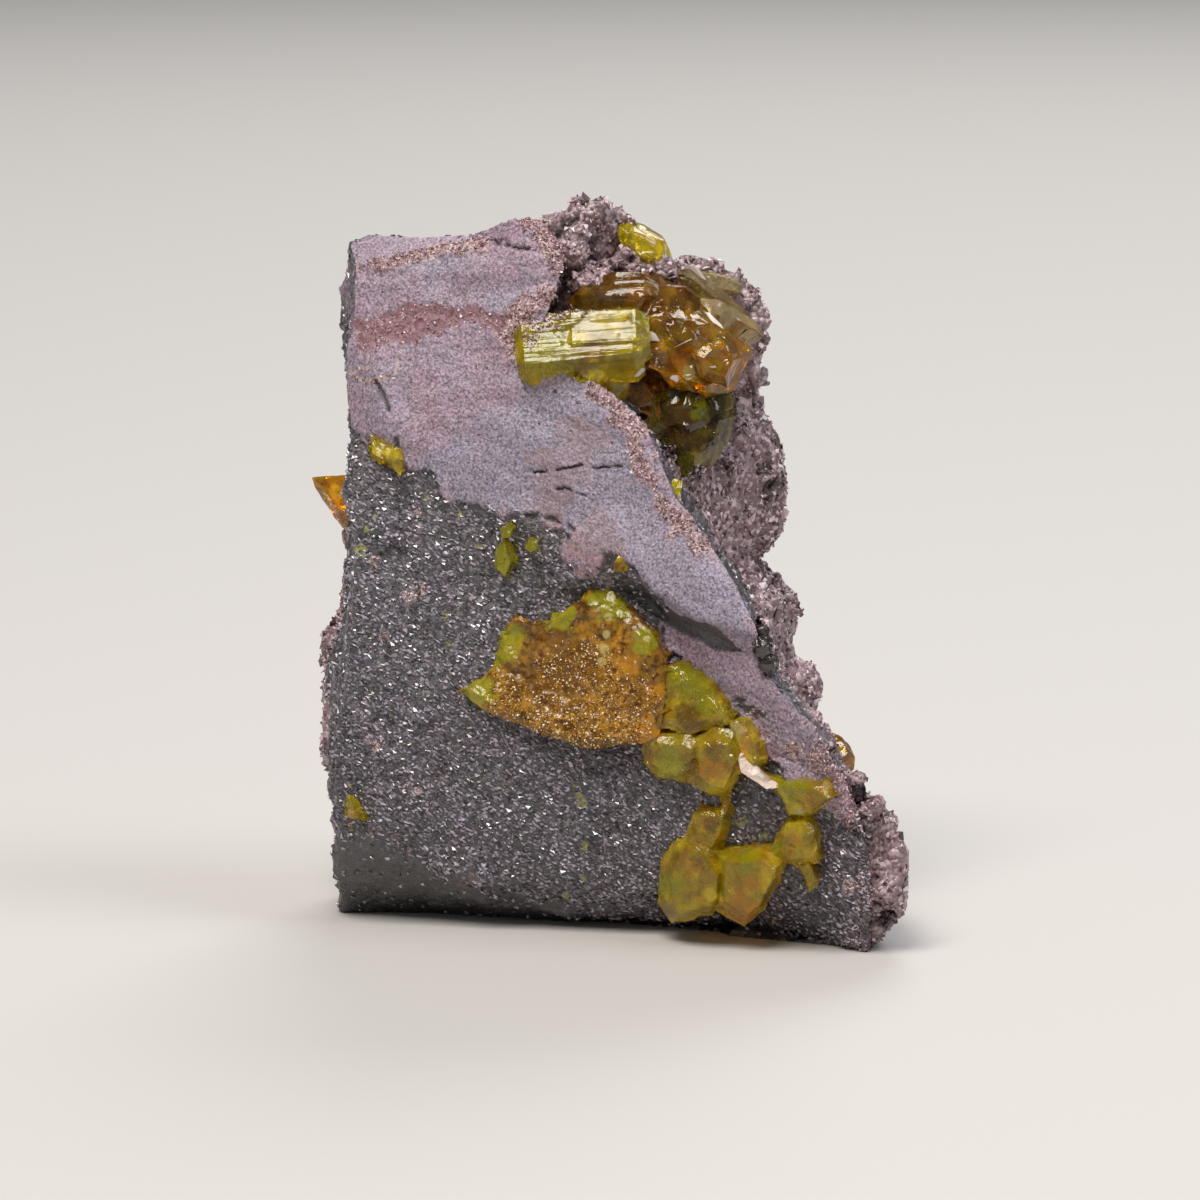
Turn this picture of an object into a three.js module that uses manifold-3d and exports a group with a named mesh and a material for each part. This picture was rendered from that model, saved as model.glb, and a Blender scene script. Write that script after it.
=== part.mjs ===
// Sturmanite crystals on a broken piece of dark hematite ore, with the granular crust of the
// cavity that the crystals grew in. Millimetres, +Z up. The broken face looks along -Y.
// The origin is on the surface that the stone stands on, under the middle of the whole piece.
import * as THREE from "three";
import { mergeVertices } from "three/addons/utils/BufferGeometryUtils.js";
import Module from "manifold-3d";

const wasm = await Module();
wasm.setup();

// Driving dimensions. Outlines are given as they show to an eye that looks down a little on the
// broken face: u to the right of and v above the middle of the view, and y the depth.
const sightDistance = 250;
const sightElevation = THREE.MathUtils.degToRad(9);
const sightHeight = 13.68; // the point looked at, above the floor
const rockGap = 0.25; // between a crystal and the rock that it grew on
const crystalGap = 0.12; // between two crystals that grew against each other
const stoneRoughness = 0.15;
const crustRoughness = 0.4;
const lowestRough = 0.05; // what is lower than this stands on the floor, and stays flat

const sightSine = Math.sin(sightElevation);
const sightCosine = Math.cos(sightElevation);

// The point that shows at (u, v) and lies at the depth y.
function seen([u, v, y]) {
  const slope = sightCosine + (v * sightSine) / sightDistance;
  const back = (y - v * sightSine) / slope;
  const spread = 1 + back / sightDistance;
  const z = sightHeight + v * sightCosine * spread - back * sightSine;
  return new THREE.Vector3(u * spread, y, z);
}

// Smooth random values between -1 and 1, the same ones on every run.
function hash(i, j, k) {
  const h = Math.sin(i * 127.1 + j * 311.7 + k * 74.7) * 43758.5453;
  return 2 * (h - Math.floor(h)) - 1;
}

function noise(point, grain) {
  const scaled = point.toArray().map((value) => value / grain);
  const [i, j, k] = scaled.map(Math.floor);
  const [s, t, w] = scaled.map((value) => value - Math.floor(value)).map((f) => f * f * (3 - 2 * f));
  const mix = THREE.MathUtils.lerp;
  const row = (b, c) => mix(hash(i, b, c), hash(i + 1, b, c), s);
  const sheet = (c) => mix(row(j, c), row(j + 1, c), t);
  return mix(sheet(k), sheet(k + 1), w);
}

function geometryOf(points, faces) {
  return new THREE.BufferGeometry().setFromPoints(points).setIndex(faces.flat());
}

// Faces between two loops of the same count, the first above or in front of the second.
function band(first, second, count) {
  const faces = [];
  for (let a = 0; a < count; a++) {
    const b = (a + 1) % count;
    faces.push([first + a, second + a, second + b], [first + a, second + b, first + b]);
  }
  return faces;
}

function middleOf(points) {
  const middle = new THREE.Vector3();
  points.forEach((point) => middle.addScaledVector(point, 1 / points.length));
  return middle;
}

// A closed body from rings stacked downwards, each counter-clockwise as seen from above.
function loft(rings) {
  const count = rings[0].length;
  const last = (rings.length - 1) * count;
  const points = [...rings.flat(), middleOf(rings[0]), middleOf(rings.at(-1))];
  const [top, bottom] = [points.length - 2, points.length - 1];
  const faces = [];
  for (let ring = 0; ring < last; ring += count) faces.push(...band(ring, ring + count, count));
  for (let a = 0; a < count; a++) {
    const b = (a + 1) % count;
    faces.push([top, a, b], [bottom, last + b, last + a]);
  }
  return geometryOf(points, faces);
}

// Every triangle becomes four.
function subdivide(geometry) {
  const position = geometry.getAttribute("position");
  const index = geometry.getIndex().array;
  const points = [];
  for (let i = 0; i < position.count; i++)
    points.push(new THREE.Vector3().fromBufferAttribute(position, i));
  const middles = new Map();
  const middle = (a, b) => {
    const key = `${Math.min(a, b)} ${Math.max(a, b)}`;
    if (!middles.has(key)) {
      middles.set(key, points.length);
      points.push(points[a].clone().lerp(points[b], 0.5));
    }
    return middles.get(key);
  };
  const faces = [];
  for (let i = 0; i < index.length; i += 3) {
    const [a, b, c] = index.slice(i, i + 3);
    const [ab, bc, ca] = [middle(a, b), middle(b, c), middle(c, a)];
    faces.push([a, ab, ca], [ab, b, bc], [ca, bc, c], [ab, bc, ca]);
  }
  return geometryOf(points, faces);
}

// Moves each vertex out by the distance that a function gives for it. The floor stays flat.
function displace(geometry, distance) {
  geometry.computeVertexNormals();
  const position = geometry.getAttribute("position");
  const normal = geometry.getAttribute("normal");
  const moved = geometry.clone();
  const p = new THREE.Vector3();
  const n = new THREE.Vector3();
  for (let i = 0; i < position.count; i++) {
    p.fromBufferAttribute(position, i);
    n.fromBufferAttribute(normal, i);
    if (p.z < lowestRough) continue;
    p.addScaledVector(n, distance(p));
    moved.getAttribute("position").setXYZ(i, p.x, p.y, Math.max(p.z, lowestRough));
  }
  return moved;
}

function roughen(geometry, amount, grain) {
  return displace(geometry, (p) => amount * (noise(p, grain) + 0.5 * noise(p, grain / 2.3)));
}

function solidOf(geometry) {
  const bare = geometry.clone().deleteAttribute("normal").deleteAttribute("uv");
  const merged = mergeVertices(bare, 1e-4);
  const vertProperties = new Float32Array(merged.attributes.position.array);
  const triVerts = new Uint32Array(merged.index.array);
  return new wasm.Manifold(new wasm.Mesh({ numProp: 3, vertProperties, triVerts }));
}

function geometryFrom(solid) {
  const mesh = solid.getMesh();
  const stride = mesh.numProp;
  const position = new Float32Array(mesh.numVert * 3);
  for (let i = 0; i < mesh.numVert; i++)
    position.set(mesh.vertProperties.subarray(i * stride, i * stride + 3), i * 3);
  const geometry = new THREE.BufferGeometry();
  geometry.setAttribute("position", new THREE.BufferAttribute(position, 3));
  return geometry.setIndex(new THREE.BufferAttribute(mesh.triVerts, 1));
}

const join = (solids) => solids.reduce((a, b) => a.add(b));

// The largest of the bodies that a cut leaves.
function largest(solid) {
  return solid.decompose().reduce((a, b) => (b.volume() > a.volume() ? b : a));
}

// A ring of rock: front points as they show, then back points on the plan, from right to left,
// at heights that run from the right end of the front to its left end, less a drop.
function rockRing(front, back, drop = 0) {
  const shown = front.map(seen);
  const [left, right] = [shown[0].z, shown.at(-1).z];
  const behind = back.map(([x, y], i) => {
    const z = THREE.MathUtils.lerp(right, left, (i + 0.5) / back.length);
    return new THREE.Vector3(x, y, z - drop);
  });
  return [...shown, ...behind];
}

function floorRing(points) {
  return points.map(([x, y]) => new THREE.Vector3(x, y, 0));
}

// The dense dark ore: a slab with a broken front. Its right edge is the rim of the cavity.
function stoneForm() {
  const topEdge = rockRing(
    [
      [-9.76, 14.28, 4.2], [-8.32, 14.36, 3.9], [-6.8, 14.44, 3.7], [-5.52, 14.48, 3.5], [-4.52, 14.28, 3.2],
      [-4.0, 14.8, 3.2], [-3.4, 15.12, 3.1], [-2.92, 15.08, 2.8], [-2.48, 14.96, 2.5],
    ],
    [[-2.2, 4.4], [-4.0, 6.2], [-7.0, 7.2], [-9.9, 7.6]],
    1.3,
  );
  const vein = rockRing(
    [
      [-9.68, 13.44, 3.4], [-8.0, 13.52, 3.0], [-6.6, 13.76, 2.7], [-5.2, 14.0, 2.5], [-4.0, 14.12, 2.3],
      [-3.2, 14.24, 2.1], [-2.6, 14.24, 1.9], [-2.08, 14.0, 1.7], [-1.68, 13.6, 1.6],
    ],
    [[-1.4, 4.0], [-3.4, 6.2], [-6.6, 7.4], [-10.1, 8.0]],
    0.5,
  );
  const smoothFace = [
    rockRing(
      [
        [-9.6, 11.88, 3.1], [-8.0, 11.88, 2.6], [-6.6, 12.0, 2.3], [-5.2, 12.16, 2.0], [-4.0, 12.36, 1.8],
        [-3.2, 12.52, 1.6], [-2.6, 12.6, 1.4], [-2.16, 12.52, 1.3], [-1.88, 12.36, 1.2],
      ],
      [[-1.6, 3.8], [-3.4, 6.2], [-6.6, 7.4], [-10.6, 8.0]],
    ),
    rockRing(
      [
        [-9.92, 9.92, 2.9], [-8.8, 8.88, 2.0], [-7.52, 9.52, 1.9], [-6.4, 10.2, 1.8], [-5.0, 10.48, 1.5],
        [-4.0, 10.6, 1.2], [-3.52, 10.6, 1.1], [-3.16, 10.56, 1.0], [-2.84, 10.48, 0.9],
      ],
      [[-2.4, 3.6], [-3.8, 6.0], [-6.8, 7.2], [-10.2, 7.8]],
    ),
    rockRing(
      [
        [-10.0, 8.0, 3.1], [-8.48, 7.8, 1.75], [-7.2, 8.0, 1.6], [-6.0, 8.2, 1.35], [-4.8, 8.32, 1.1],
        [-3.8, 8.48, 0.8], [-2.88, 8.56, 0.6], [-1.6, 8.44, 0.2], [-0.5, 8.6, -0.2],
      ],
      [[-0.4, 1.6], [-2.6, 5.2], [-6.4, 7.0], [-10.0, 7.6]],
    ),
    rockRing(
      [
        [-9.76, 6.8, 3.0], [-8.24, 6.4, 1.55], [-7.0, 6.52, 1.4], [-5.8, 6.8, 1.15], [-4.4, 7.2, 0.8],
        [-3.0, 7.4, 0.4], [-1.6, 7.52, 0], [-0.12, 7.68, -0.45], [1.28, 7.4, -0.8],
      ],
      [[1.4, 1.0], [-1.6, 4.8], [-6.0, 6.8], [-9.9, 7.4]],
    ),
    rockRing(
      [
        [-10.0, 5.68, 2.2], [-7.92, 5.0, 1.5], [-6.72, 5.2, 1.3], [-5.4, 5.52, 1.0], [-4.0, 5.72, 0.6],
        [-2.4, 5.92, 0.1], [-0.8, 6.08, -0.35], [0.8, 6.16, -0.85], [2.2, 5.8, -1.4],
      ],
      [[2.4, 0.6], [-1.0, 4.6], [-5.8, 6.6], [-9.9, 7.4]],
    ),
    rockRing(
      [
        [-9.88, 4.32, 1.8], [-7.68, 4.32, 1.5], [-6.4, 4.0, 1.2], [-5.0, 3.8, 0.75], [-3.6, 3.68, 0.3],
        [-2.0, 3.72, -0.15], [-0.4, 3.8, -0.65], [1.4, 3.92, -1.25], [3.0, 4.0, -2.0],
      ],
      [[3.2, 0.2], [-0.4, 4.4], [-5.6, 6.4], [-9.9, 7.2]],
    ),
  ];
  // The lip where the smooth face ends, and the dark step under it
  const ledge = [
    rockRing(
      [
        [-9.72, 2.6, 1.5], [-7.4, 3.2, 1.45], [-6.0, 2.88, 1.05], [-4.4, 2.32, 0.6], [-3.0, 1.76, 0.1],
        [-1.4, 1.75, -0.55], [0.2, 1.8, -1.25], [2.2, 2.2, -2.0], [4.4, 1.92, -2.9],
      ],
      [[4.5, -0.4], [0.4, 4.2], [-5.4, 6.2], [-10.0, 7.0]],
    ),
    rockRing(
      [
        [-9.8, 1.0, 1.3], [-7.8, 1.12, 1.3], [-6.0, 1.0, 0.95], [-4.2, 0.8, 0.55], [-2.4, 0.7, 0.1],
        [-0.32, 0.95, -0.65], [1.84, 0.75, -1.9], [4.0, -0.55, -3.3], [6.2, -1.28, -4.35],
      ],
      [[6.2, -1.4], [1.6, 3.8], [-5.2, 6.0], [-10.2, 6.8]],
    ),
    rockRing(
      [
        [-9.84, 0, 1.2], [-7.8, 0, 1.2], [-6.0, -0.2, 0.8], [-4.2, -0.32, 0.45], [-2.4, -0.4, 0.15],
        [-0.32, 0.1, 0.15], [2.0, 0.05, -0.7], [3.92, -1.2, -2.2], [6.08, -2.08, -3.45],
      ],
      [[6.4, -1.2], [1.8, 3.6], [-5.2, 5.8], [-10.4, 6.5]],
    ),
  ];
  const coarseFace = [
    rockRing(
      [
        [-9.76, -2.0, 1.15], [-7.8, -2.2, 1.0], [-6.0, -2.4, 0.7], [-4.0, -2.6, 0.35], [-2.0, -2.8, 0],
        [0, -2.88, -0.3], [2.48, -2.0, -1.0], [4.48, -3.6, -1.9], [7.12, -3.72, -4.0],
      ],
      [[7.3, -1.6], [2.6, 3.4], [-5.0, 5.6], [-10.8, 6.2]],
    ),
    rockRing(
      [
        [-10.0, -4.0, 1.1], [-8.0, -4.2, 0.85], [-6.0, -4.4, 0.5], [-3.8, -4.6, 0.15], [-1.6, -4.8, -0.2],
        [0.6, -4.88, -0.6], [2.88, -4.72, -1.3], [5.6, -5.4, -2.5], [8.5, -5.1, -4.6],
      ],
      [[8.6, -2.0], [3.4, 3.2], [-4.8, 5.6], [-11.0, 6.2]],
    ),
    rockRing(
      [
        [-10.5, -6.4, 1.3], [-8.0, -6.6, 0.7], [-6.0, -6.72, 0.4], [-3.6, -6.88, 0], [-1.2, -7.0, -0.4],
        [1.2, -7.12, -0.9], [4.0, -7.6, -1.9], [7.4, -7.6, -3.6], [9.7, -7.4, -4.7],
      ],
      [[9.8, -2.4], [4.0, 3.0], [-4.6, 5.8], [-11.0, 6.4]],
    ),
    rockRing(
      [
        [-10.36, -8.2, 1.4], [-8.0, -8.48, 0.8], [-6.0, -8.72, 0.5], [-3.6, -8.96, 0.1], [-1.0, -9.2, -0.4],
        [1.6, -9.44, -1.0], [4.6, -9.8, -1.8], [8.0, -9.8, -3.3], [10.56, -9.4, -4.7],
      ],
      [[10.5, -2.4], [4.4, 3.0], [-4.6, 6.0], [-10.8, 6.8]],
    ),
  ];
  const undercutFoot = [
    rockRing(
      [
        [-10.36, -9.8, 2.0], [-8.2, -10.48, 1.3], [-6.0, -10.88, 0.9], [-3.6, -11.2, 0.5], [-1.0, -11.52, 0],
        [1.8, -11.6, -0.6], [5.0, -11.4, -1.4], [8.48, -11.6, -3.2], [10.64, -10.72, -4.5],
      ],
      [[10.5, -2.2], [4.6, 3.2], [-4.6, 6.2], [-10.6, 7.2]],
    ),
    rockRing(
      [
        [-10.32, -11.2, 3.0], [-8.2, -11.6, 2.5], [-6.0, -11.8, 2.1], [-3.6, -12.1, 1.6], [-1.0, -12.5, 1.2],
        [1.8, -12.56, 0.9], [5.6, -12.6, 0.4], [9.4, -13.12, -2.6], [10.72, -12.6, -4.0],
      ],
      [[10.4, -1.8], [4.6, 3.4], [-4.6, 6.4], [-10.5, 7.4]],
    ),
    floorRing([
      [-10.55, 4.5], [-8.4, 4.6], [-6.2, 4.5], [-3.8, 4.0], [-1.5, 3.1], [1.5, 2.8], [5.2, 2.0],
      [9.9, -1.8], [10.6, -3.2], [10.2, -1.6], [4.6, 3.6], [-4.6, 6.6], [-10.3, 7.6],
    ]),
  ];
  const rings = [topEdge, vein, ...smoothFace, ...ledge, ...coarseFace, ...undercutFoot];
  return loft(rings);
}

// The granular crust: it lines the cavity, covers the back and shows past the right rim. The
// front of each ring lies in the stone, up to the rim, and goes on along the cavity's floor.
function crustForm() {
  const behindTop = [
    rockRing(
      [
        [-9.0, 12.5, 7.4], [-6, 12.8, 5.5], [-2.2, 13.0, 3.0], [-0.6, 13.4, 2.8], [2.6, 13.4, 4.0],
        [5.2, 13.0, 5.6],
      ],
      [[5.4, 7.8], [2.5, 9.2], [-4, 9.3], [-9.2, 8.6]],
      0.9,
    ),
    rockRing(
      [
        [-9.6, 11.4, 7.6], [-6, 11.6, 5.5], [-2.4, 11.6, 2.6], [-0.4, 11.8, 3.4], [3.0, 11.8, 4.6],
        [6.2, 11.6, 5.8],
      ],
      [[6.5, 8.0], [3, 9.6], [-4, 9.8], [-9.9, 9.0]],
    ),
  ];
  const behindCavity = [
    rockRing(
      [[-9.8, 10, 7.6], [-6, 10, 5], [-3.2, 10, 2.2], [-0.8, 10.2, 3.2], [3.2, 10.2, 4.6], [6.6, 10, 6.0]],
      [[6.8, 8.2], [3, 9.9], [-4, 10], [-10, 9.2]],
    ),
    rockRing(
      [[-9.8, 8.4, 7.4], [-6, 8.4, 5], [-0.9, 8.4, 1.6], [1.2, 8.2, 2.6], [3.6, 8.2, 4.6], [6.0, 8.3, 6.2]],
      [[6.3, 8.4], [2.6, 10], [-4, 10.2], [-10, 9.2]],
    ),
    rockRing(
      [[-9.6, 6.4, 7.2], [-5, 6.4, 4.5], [1.2, 6.4, 0.8], [2.8, 6.4, 1.0], [4.4, 6.4, 4.2], [6.9, 6.4, 6.4]],
      [[7.2, 8.6], [3, 10.2], [-4, 10.3], [-10, 9.2]],
    ),
    rockRing(
      [[-9.6, 4.9, 7.0], [-5, 4.9, 4.2], [2.0, 4.9, 0], [3.3, 5.0, 0.2], [4.8, 4.9, 3.8], [7.4, 4.9, 6.5]],
      [[7.8, 8.6], [3, 10.2], [-4, 10.3], [-10.2, 9.0]],
    ),
    rockRing(
      [[-9.8, 2.8, 6.8], [-5, 2.8, 4], [3.0, 2.8, -0.8], [4.0, 3.0, -0.6], [5.0, 2.8, 3.4], [7.0, 2.8, 6.4]],
      [[7.4, 8.6], [3, 10.0], [-4, 10.2], [-10.4, 8.8]],
    ),
    rockRing(
      [[-9.8, 1.4, 6.6], [-5, 1.4, 4], [4.2, 1.4, -1.4], [5.0, 1.6, -1.5], [5.2, 1.4, 3.0], [5.9, 1.4, 6.2]],
      [[6.4, 8.4], [3, 9.8], [-4, 10.1], [-10.6, 8.6]],
    ),
  ];
  const behindFace = [
    rockRing(
      [[-10, -0.2, 6.4], [-5, -0.2, 3.8], [5.2, -0.2, -2.2], [6.1, 0, -2.4], [6.4, -0.2, 2.6], [7.6, 0, 6]],
      [[8.2, 8.2], [4, 9.6], [-4, 10], [-10.9, 8.4]],
    ),
    rockRing(
      [[-10.7, -2, 6.2], [-5, -2, 3.6], [5.8, -2, -2.8], [6.6, -1.8, -3.0], [6.8, -2, 2.2], [7.3, -2, 5.6]],
      [[8.0, 8.0], [4, 9.4], [-4, 9.9], [-11.3, 8.2]],
    ),
    rockRing(
      [
        [-10.95, -3.8, 6.4], [-5, -3.8, 3.6], [6.6, -4.0, -3.4], [7.6, -3.9, -3.9], [7.8, -4.0, 1.5],
        [8.2, -4.0, 5.0],
      ],
      [[8.6, 7.6], [4, 9.2], [-4, 9.8], [-11.5, 8.2]],
    ),
    rockRing(
      [
        [-11.0, -6.6, 6.6], [-5, -6.6, 3.6], [8.6, -6.6, -3.6], [9.9, -6.7, -4.5], [9.8, -6.6, 0],
        [9.3, -6.6, 4.5],
      ],
      [[9.6, 7.0], [4, 9.0], [-4, 9.6], [-11.4, 8.2]],
    ),
    rockRing(
      [
        [-10.6, -8.8, 7.0], [-5, -8.8, 3.8], [9.8, -8.8, -3.6], [11.7, -9.0, -4.3], [11.5, -8.8, -1],
        [10.2, -8.8, 3.8],
      ],
      [[9.8, 6.4], [4, 8.8], [-4, 9.4], [-11.0, 8.4]],
    ),
    rockRing(
      [
        [-10.3, -10.8, 7.2], [-5, -10.8, 4.2], [10.2, -10.6, -3.6], [12.4, -10.3, -4.2], [12.1, -10.8, -1],
        [10.4, -10.8, 3.4],
      ],
      [[9.6, 6.0], [4, 8.6], [-4, 9.2], [-10.8, 8.6]],
    ),
  ];
  const foot = [
    rockRing(
      [
        [-10.2, -11.5, 7.4], [-5, -11.9, 4.6], [10.2, -12.4, -3.2], [12.2, -12.5, -4.0], [11.8, -12.5, -1],
        [10.2, -12.4, 3.2],
      ],
      [[9.4, 5.8], [4, 8.4], [-4, 9.0], [-10.6, 8.6]],
    ),
    floorRing([
      [-10.2, 7.8], [-5, 5.2], [9.8, -2.2], [11.3, -3.0], [11.2, -0.6], [10, 3],
      [9.2, 5.6], [4, 8.2], [-4, 8.8], [-10.2, 8.6],
    ]),
  ];
  const rings = [...behindTop, ...behindCavity, ...behindFace, ...foot];
  return roughen(subdivide(loft(rings)), crustRoughness, 1.15);
}

// Lumps of grains that give the crust its edge: each a place and a radius.
const crustLumps = {
  knob: [
    [[-0.5, 15.4, 3.3], 0.95], [[0, 15.95, 3.3], 0.5], [[-1.1, 14.9, 2.9], 0.8], [[-1.8, 14.9, 2.7], 0.68],
    [[0.45, 15.0, 3.8], 0.72], [[1.0, 15.05, 4.2], 0.42], [[-1.15, 13.9, 2.5], 0.7], [[-1.6, 12.6, 1.9], 0.6],
    [[-2.1, 14.3, 2.0], 0.5],
  ],
  cavityTop: [
    [[1.3, 13.5, 3.3], 0.75], [[2.5, 13.2, 3.6], 0.8], [[3.7, 13.5, 5.2], 0.6], [[4.4, 13.2, 5.4], 0.7],
    [[5.2, 12.9, 5.7], 0.55], [[-0.4, 12.7, 2.6], 0.75], [[0.5, 13.3, 2.9], 0.5],
  ],
  hollowBack: [
    [[-0.35, 14.1, 4.2], 0.98], [[0.6, 14.15, 4.5], 0.72],
  ],
  rightWall: [
    [[5.8, 12.1, 5.8], 0.6], [[6.25, 11.2, 6.0], 0.6], [[6.4, 10.3, 6.1], 0.4], [[6.35, 8.9, 6.2], 0.55],
    [[6.2, 8.1, 6.2], 0.4], [[5.5, 6.9, 5.2], 0.8], [[6.3, 6.0, 6.0], 0.8], [[6.8, 4.9, 6.2], 0.75],
    [[6.1, 3.8, 5.8], 0.8], [[6.3, 2.5, 6.2], 0.65], [[5.1, 5.1, 3.8], 0.7], [[5.0, 3.6, 3.2], 0.6],
  ],
  rim: [
    [[3.15, 5.9, -0.2], 0.42], [[3.65, 3.4, -0.9], 0.45], [[4.35, 2.3, -1.3], 0.4],
  ],
  spurs: [
    [[7.35, -0.25, 6.0], 0.7], [[8.05, -0.45, 6.0], 0.35], [[7.0, -1.4, 5.8], 0.5], [[7.6, -3.2, 5.3], 0.75],
    [[8.2, -3.6, 5.2], 0.5], [[8.1, -5.0, 4.6], 0.5],
  ],
  toe: [
    [[11.75, -9.9, -3.8], 0.75], [[11.7, -11.5, -3.7], 0.75], [[11.0, -8.3, -4.2], 0.6],
    [[10.3, -7.3, -4.4], 0.5], [[9.2, -6.0, -4.5], 0.45], [[11.2, -12.4, -3.9], 0.5],
  ],
  back: [
    [[1, 4.5, 9.8], 1.7], [[-7, 0.5, 9.6], 1.8], [[-1.5, -3.2, 9.6], 1.6], [[5.5, -6.5, 8.6], 1.6],
  ],
};

function lumpGeometry([place, radius]) {
  const ball = new THREE.IcosahedronGeometry(radius, radius > 1 ? 1 : 0).deleteAttribute("uv");
  const centre = seen(place);
  const geometry = mergeVertices(ball.deleteAttribute("normal"), 1e-4);
  geometry.translate(centre.x, centre.y, Math.max(centre.z, radius));
  return roughen(geometry, 0.3 * radius, 0.8 * radius);
}

function stoneSolid() {
  return solidOf(roughen(subdivide(stoneForm()), stoneRoughness, 1.7));
}

// The fence that the crust and the crystals on the stone stop at.
function stoneFence() {
  return solidOf(displace(stoneForm(), () => rockGap + stoneRoughness));
}

// The crust, or the larger fence that the crystals on it stop at.
function crustSolid(extra = 0) {
  const lumps = Object.values(crustLumps).flat().map(lumpGeometry);
  const pieces = [crustForm(), ...lumps].map((geometry) => displace(geometry, () => extra));
  return largest(join(pieces.map(solidOf)));
}

// A crystal known by its outline: a loop counter-clockwise as seen from the front, a smaller
// crown loop lifted towards the eye, and a root loop in the rock behind.
function facedCrystal(outline, { inset = 0.4, lift = 0.4, shift = [0, 0], root = 2, spread = 0.9 } = {}) {
  const count = outline.length;
  const rim = outline.map(seen);
  const middle = middleOf(rim);
  const crownMiddle = middle.clone().add(new THREE.Vector3(shift[0], 0, shift[1]));
  const crown = rim.map((p) => p.clone().lerp(crownMiddle, inset).add(new THREE.Vector3(0, -lift, 0)));
  const base = rim.map((p) => p.clone().lerp(middle, 1 - spread).add(new THREE.Vector3(0, root, 0)));
  const cover = (loop, first, turned) => {
    const contour = loop.map((p) => new THREE.Vector2(p.x, p.z));
    const faces = THREE.ShapeUtils.triangulateShape(contour, []);
    return faces.map((face) => (turned ? face.toReversed() : face).map((corner) => corner + first));
  };
  const sides = [...band(0, count, count), ...band(count, 2 * count, count)];
  const faces = [...cover(crown, 0, false), ...sides, ...cover(base, 2 * count, true)];
  return solidOf(geometryOf([...crown, ...rim, ...base], faces));
}

// A six-sided prism with bevelled ends, between two points.
function prism(from, to, radius, { flat = 1, bevel = 0.35, end = 0.6, turn = 0 } = {}) {
  const [start, finish] = [seen(from), seen(to)];
  const length = start.distanceTo(finish);
  const cut = radius * bevel;
  const profile = [
    [0, 0], [radius * end, 0], [radius, cut],
    [radius, length - cut], [radius * end, length], [0, length],
  ];
  const geometry = new THREE.LatheGeometry(profile.map((p) => new THREE.Vector2(...p)), 6);
  const along = finish.clone().sub(start).normalize();
  const upright = new THREE.Vector3(0, 1, 0);
  geometry.rotateY(turn).scale(1, 1, flat);
  geometry.applyQuaternion(new THREE.Quaternion().setFromUnitVectors(upright, along));
  geometry.translate(...start.toArray());
  return solidOf(geometry);
}

// The prism that lies across the cavity, stepped where its growth stopped and started again.
function vugPrismCrystal() {
  return join([
    prism([-3.3, 9.75, 1.0], [1.7, 10.3, 0.9], 1.72, { bevel: 0.2, end: 0.82, turn: 0.5, flat: 0.95 }),
    prism([-1.6, 10.35, 0.85], [2.0, 10.55, 0.8], 1.5, { bevel: 0.35, end: 0.7, turn: 0.42, flat: 0.9 }),
    prism([-2.6, 8.9, 0.9], [1.2, 8.95, 0.8], 0.75, { bevel: 0.5, end: 0.6, turn: 0.2 }),
  ]);
}

function vugRearCrystal() {
  return join([
    prism([-1.2, 12.1, 2.5], [2.4, 12.1, 2.1], 1.1, { bevel: 0.5, end: 0.6, turn: 0.3 }),
    prism([0.9, 11.9, 2.2], [4.0, 11.7, 2.3], 0.95, { bevel: 0.7, end: 0.45, turn: 0.62 }),
  ]);
}

function vugAmberCrystal() {
  const body = [
    [1.75, 10.9, 0.9], [2.2, 9.4, 0.5], [2.88, 8.5, 0.6], [4.2, 8.0, 1.1], [5.4, 8.4, 2.0],
    [6.1, 10.0, 2.3], [4.9, 10.9, 1.7], [4.2, 11.6, 1.9], [3.2, 12.0, 1.8], [2.2, 11.8, 1.5],
  ];
  const upperStep = [
    [2.1, 11.2, 0.7], [2.6, 10.2, 0.2], [3.8, 9.95, 0.2], [4.7, 10.3, 0.7], [4.4, 11.1, 1.0],
    [3.4, 11.6, 1.1], [2.5, 11.6, 0.9],
  ];
  const rightStep = [
    [3.6, 9.9, 0.3], [4.0, 8.9, 0.2], [5.1, 8.5, 0.9], [5.75, 9.7, 1.5], [5.0, 10.5, 1.1], [4.2, 10.5, 0.6],
  ];
  return join([
    facedCrystal(body, { inset: 0.36, lift: 0.85, shift: [0.4, -0.3], root: 3.2, spread: 0.8 }),
    facedCrystal(upperStep, { inset: 0.4, lift: 0.45, shift: [-0.1, 0.1], root: 1.6 }),
    facedCrystal(rightStep, { inset: 0.45, lift: 0.55, shift: [0.2, -0.1], root: 1.6 }),
  ]);
}

function vugOliveCrystal() {
  const body = [
    [2.15, 8.2, 1.0], [2.1, 7.2, 0.9], [2.45, 6.0, 0.7], [3.0, 5.2, 0.8], [3.68, 4.88, 1.0],
    [4.48, 5.28, 1.4], [5.12, 6.2, 1.8], [5.5, 7.4, 2.1], [5.4, 8.2, 2.2], [4.2, 8.3, 1.5], [3.0, 8.4, 1.1],
  ];
  const step = [
    [2.4, 7.9, 0.6], [2.7, 6.9, 0.3], [3.6, 6.7, 0.3], [4.4, 7.1, 0.7], [4.5, 7.9, 1.0], [3.4, 8.2, 0.7],
  ];
  return join([
    facedCrystal(body, { inset: 0.46, lift: 0.75, shift: [0.1, 0.2], root: 3.0, spread: 0.85 }),
    facedCrystal(step, { inset: 0.42, lift: 0.4, root: 1.6 }),
  ]);
}

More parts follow.
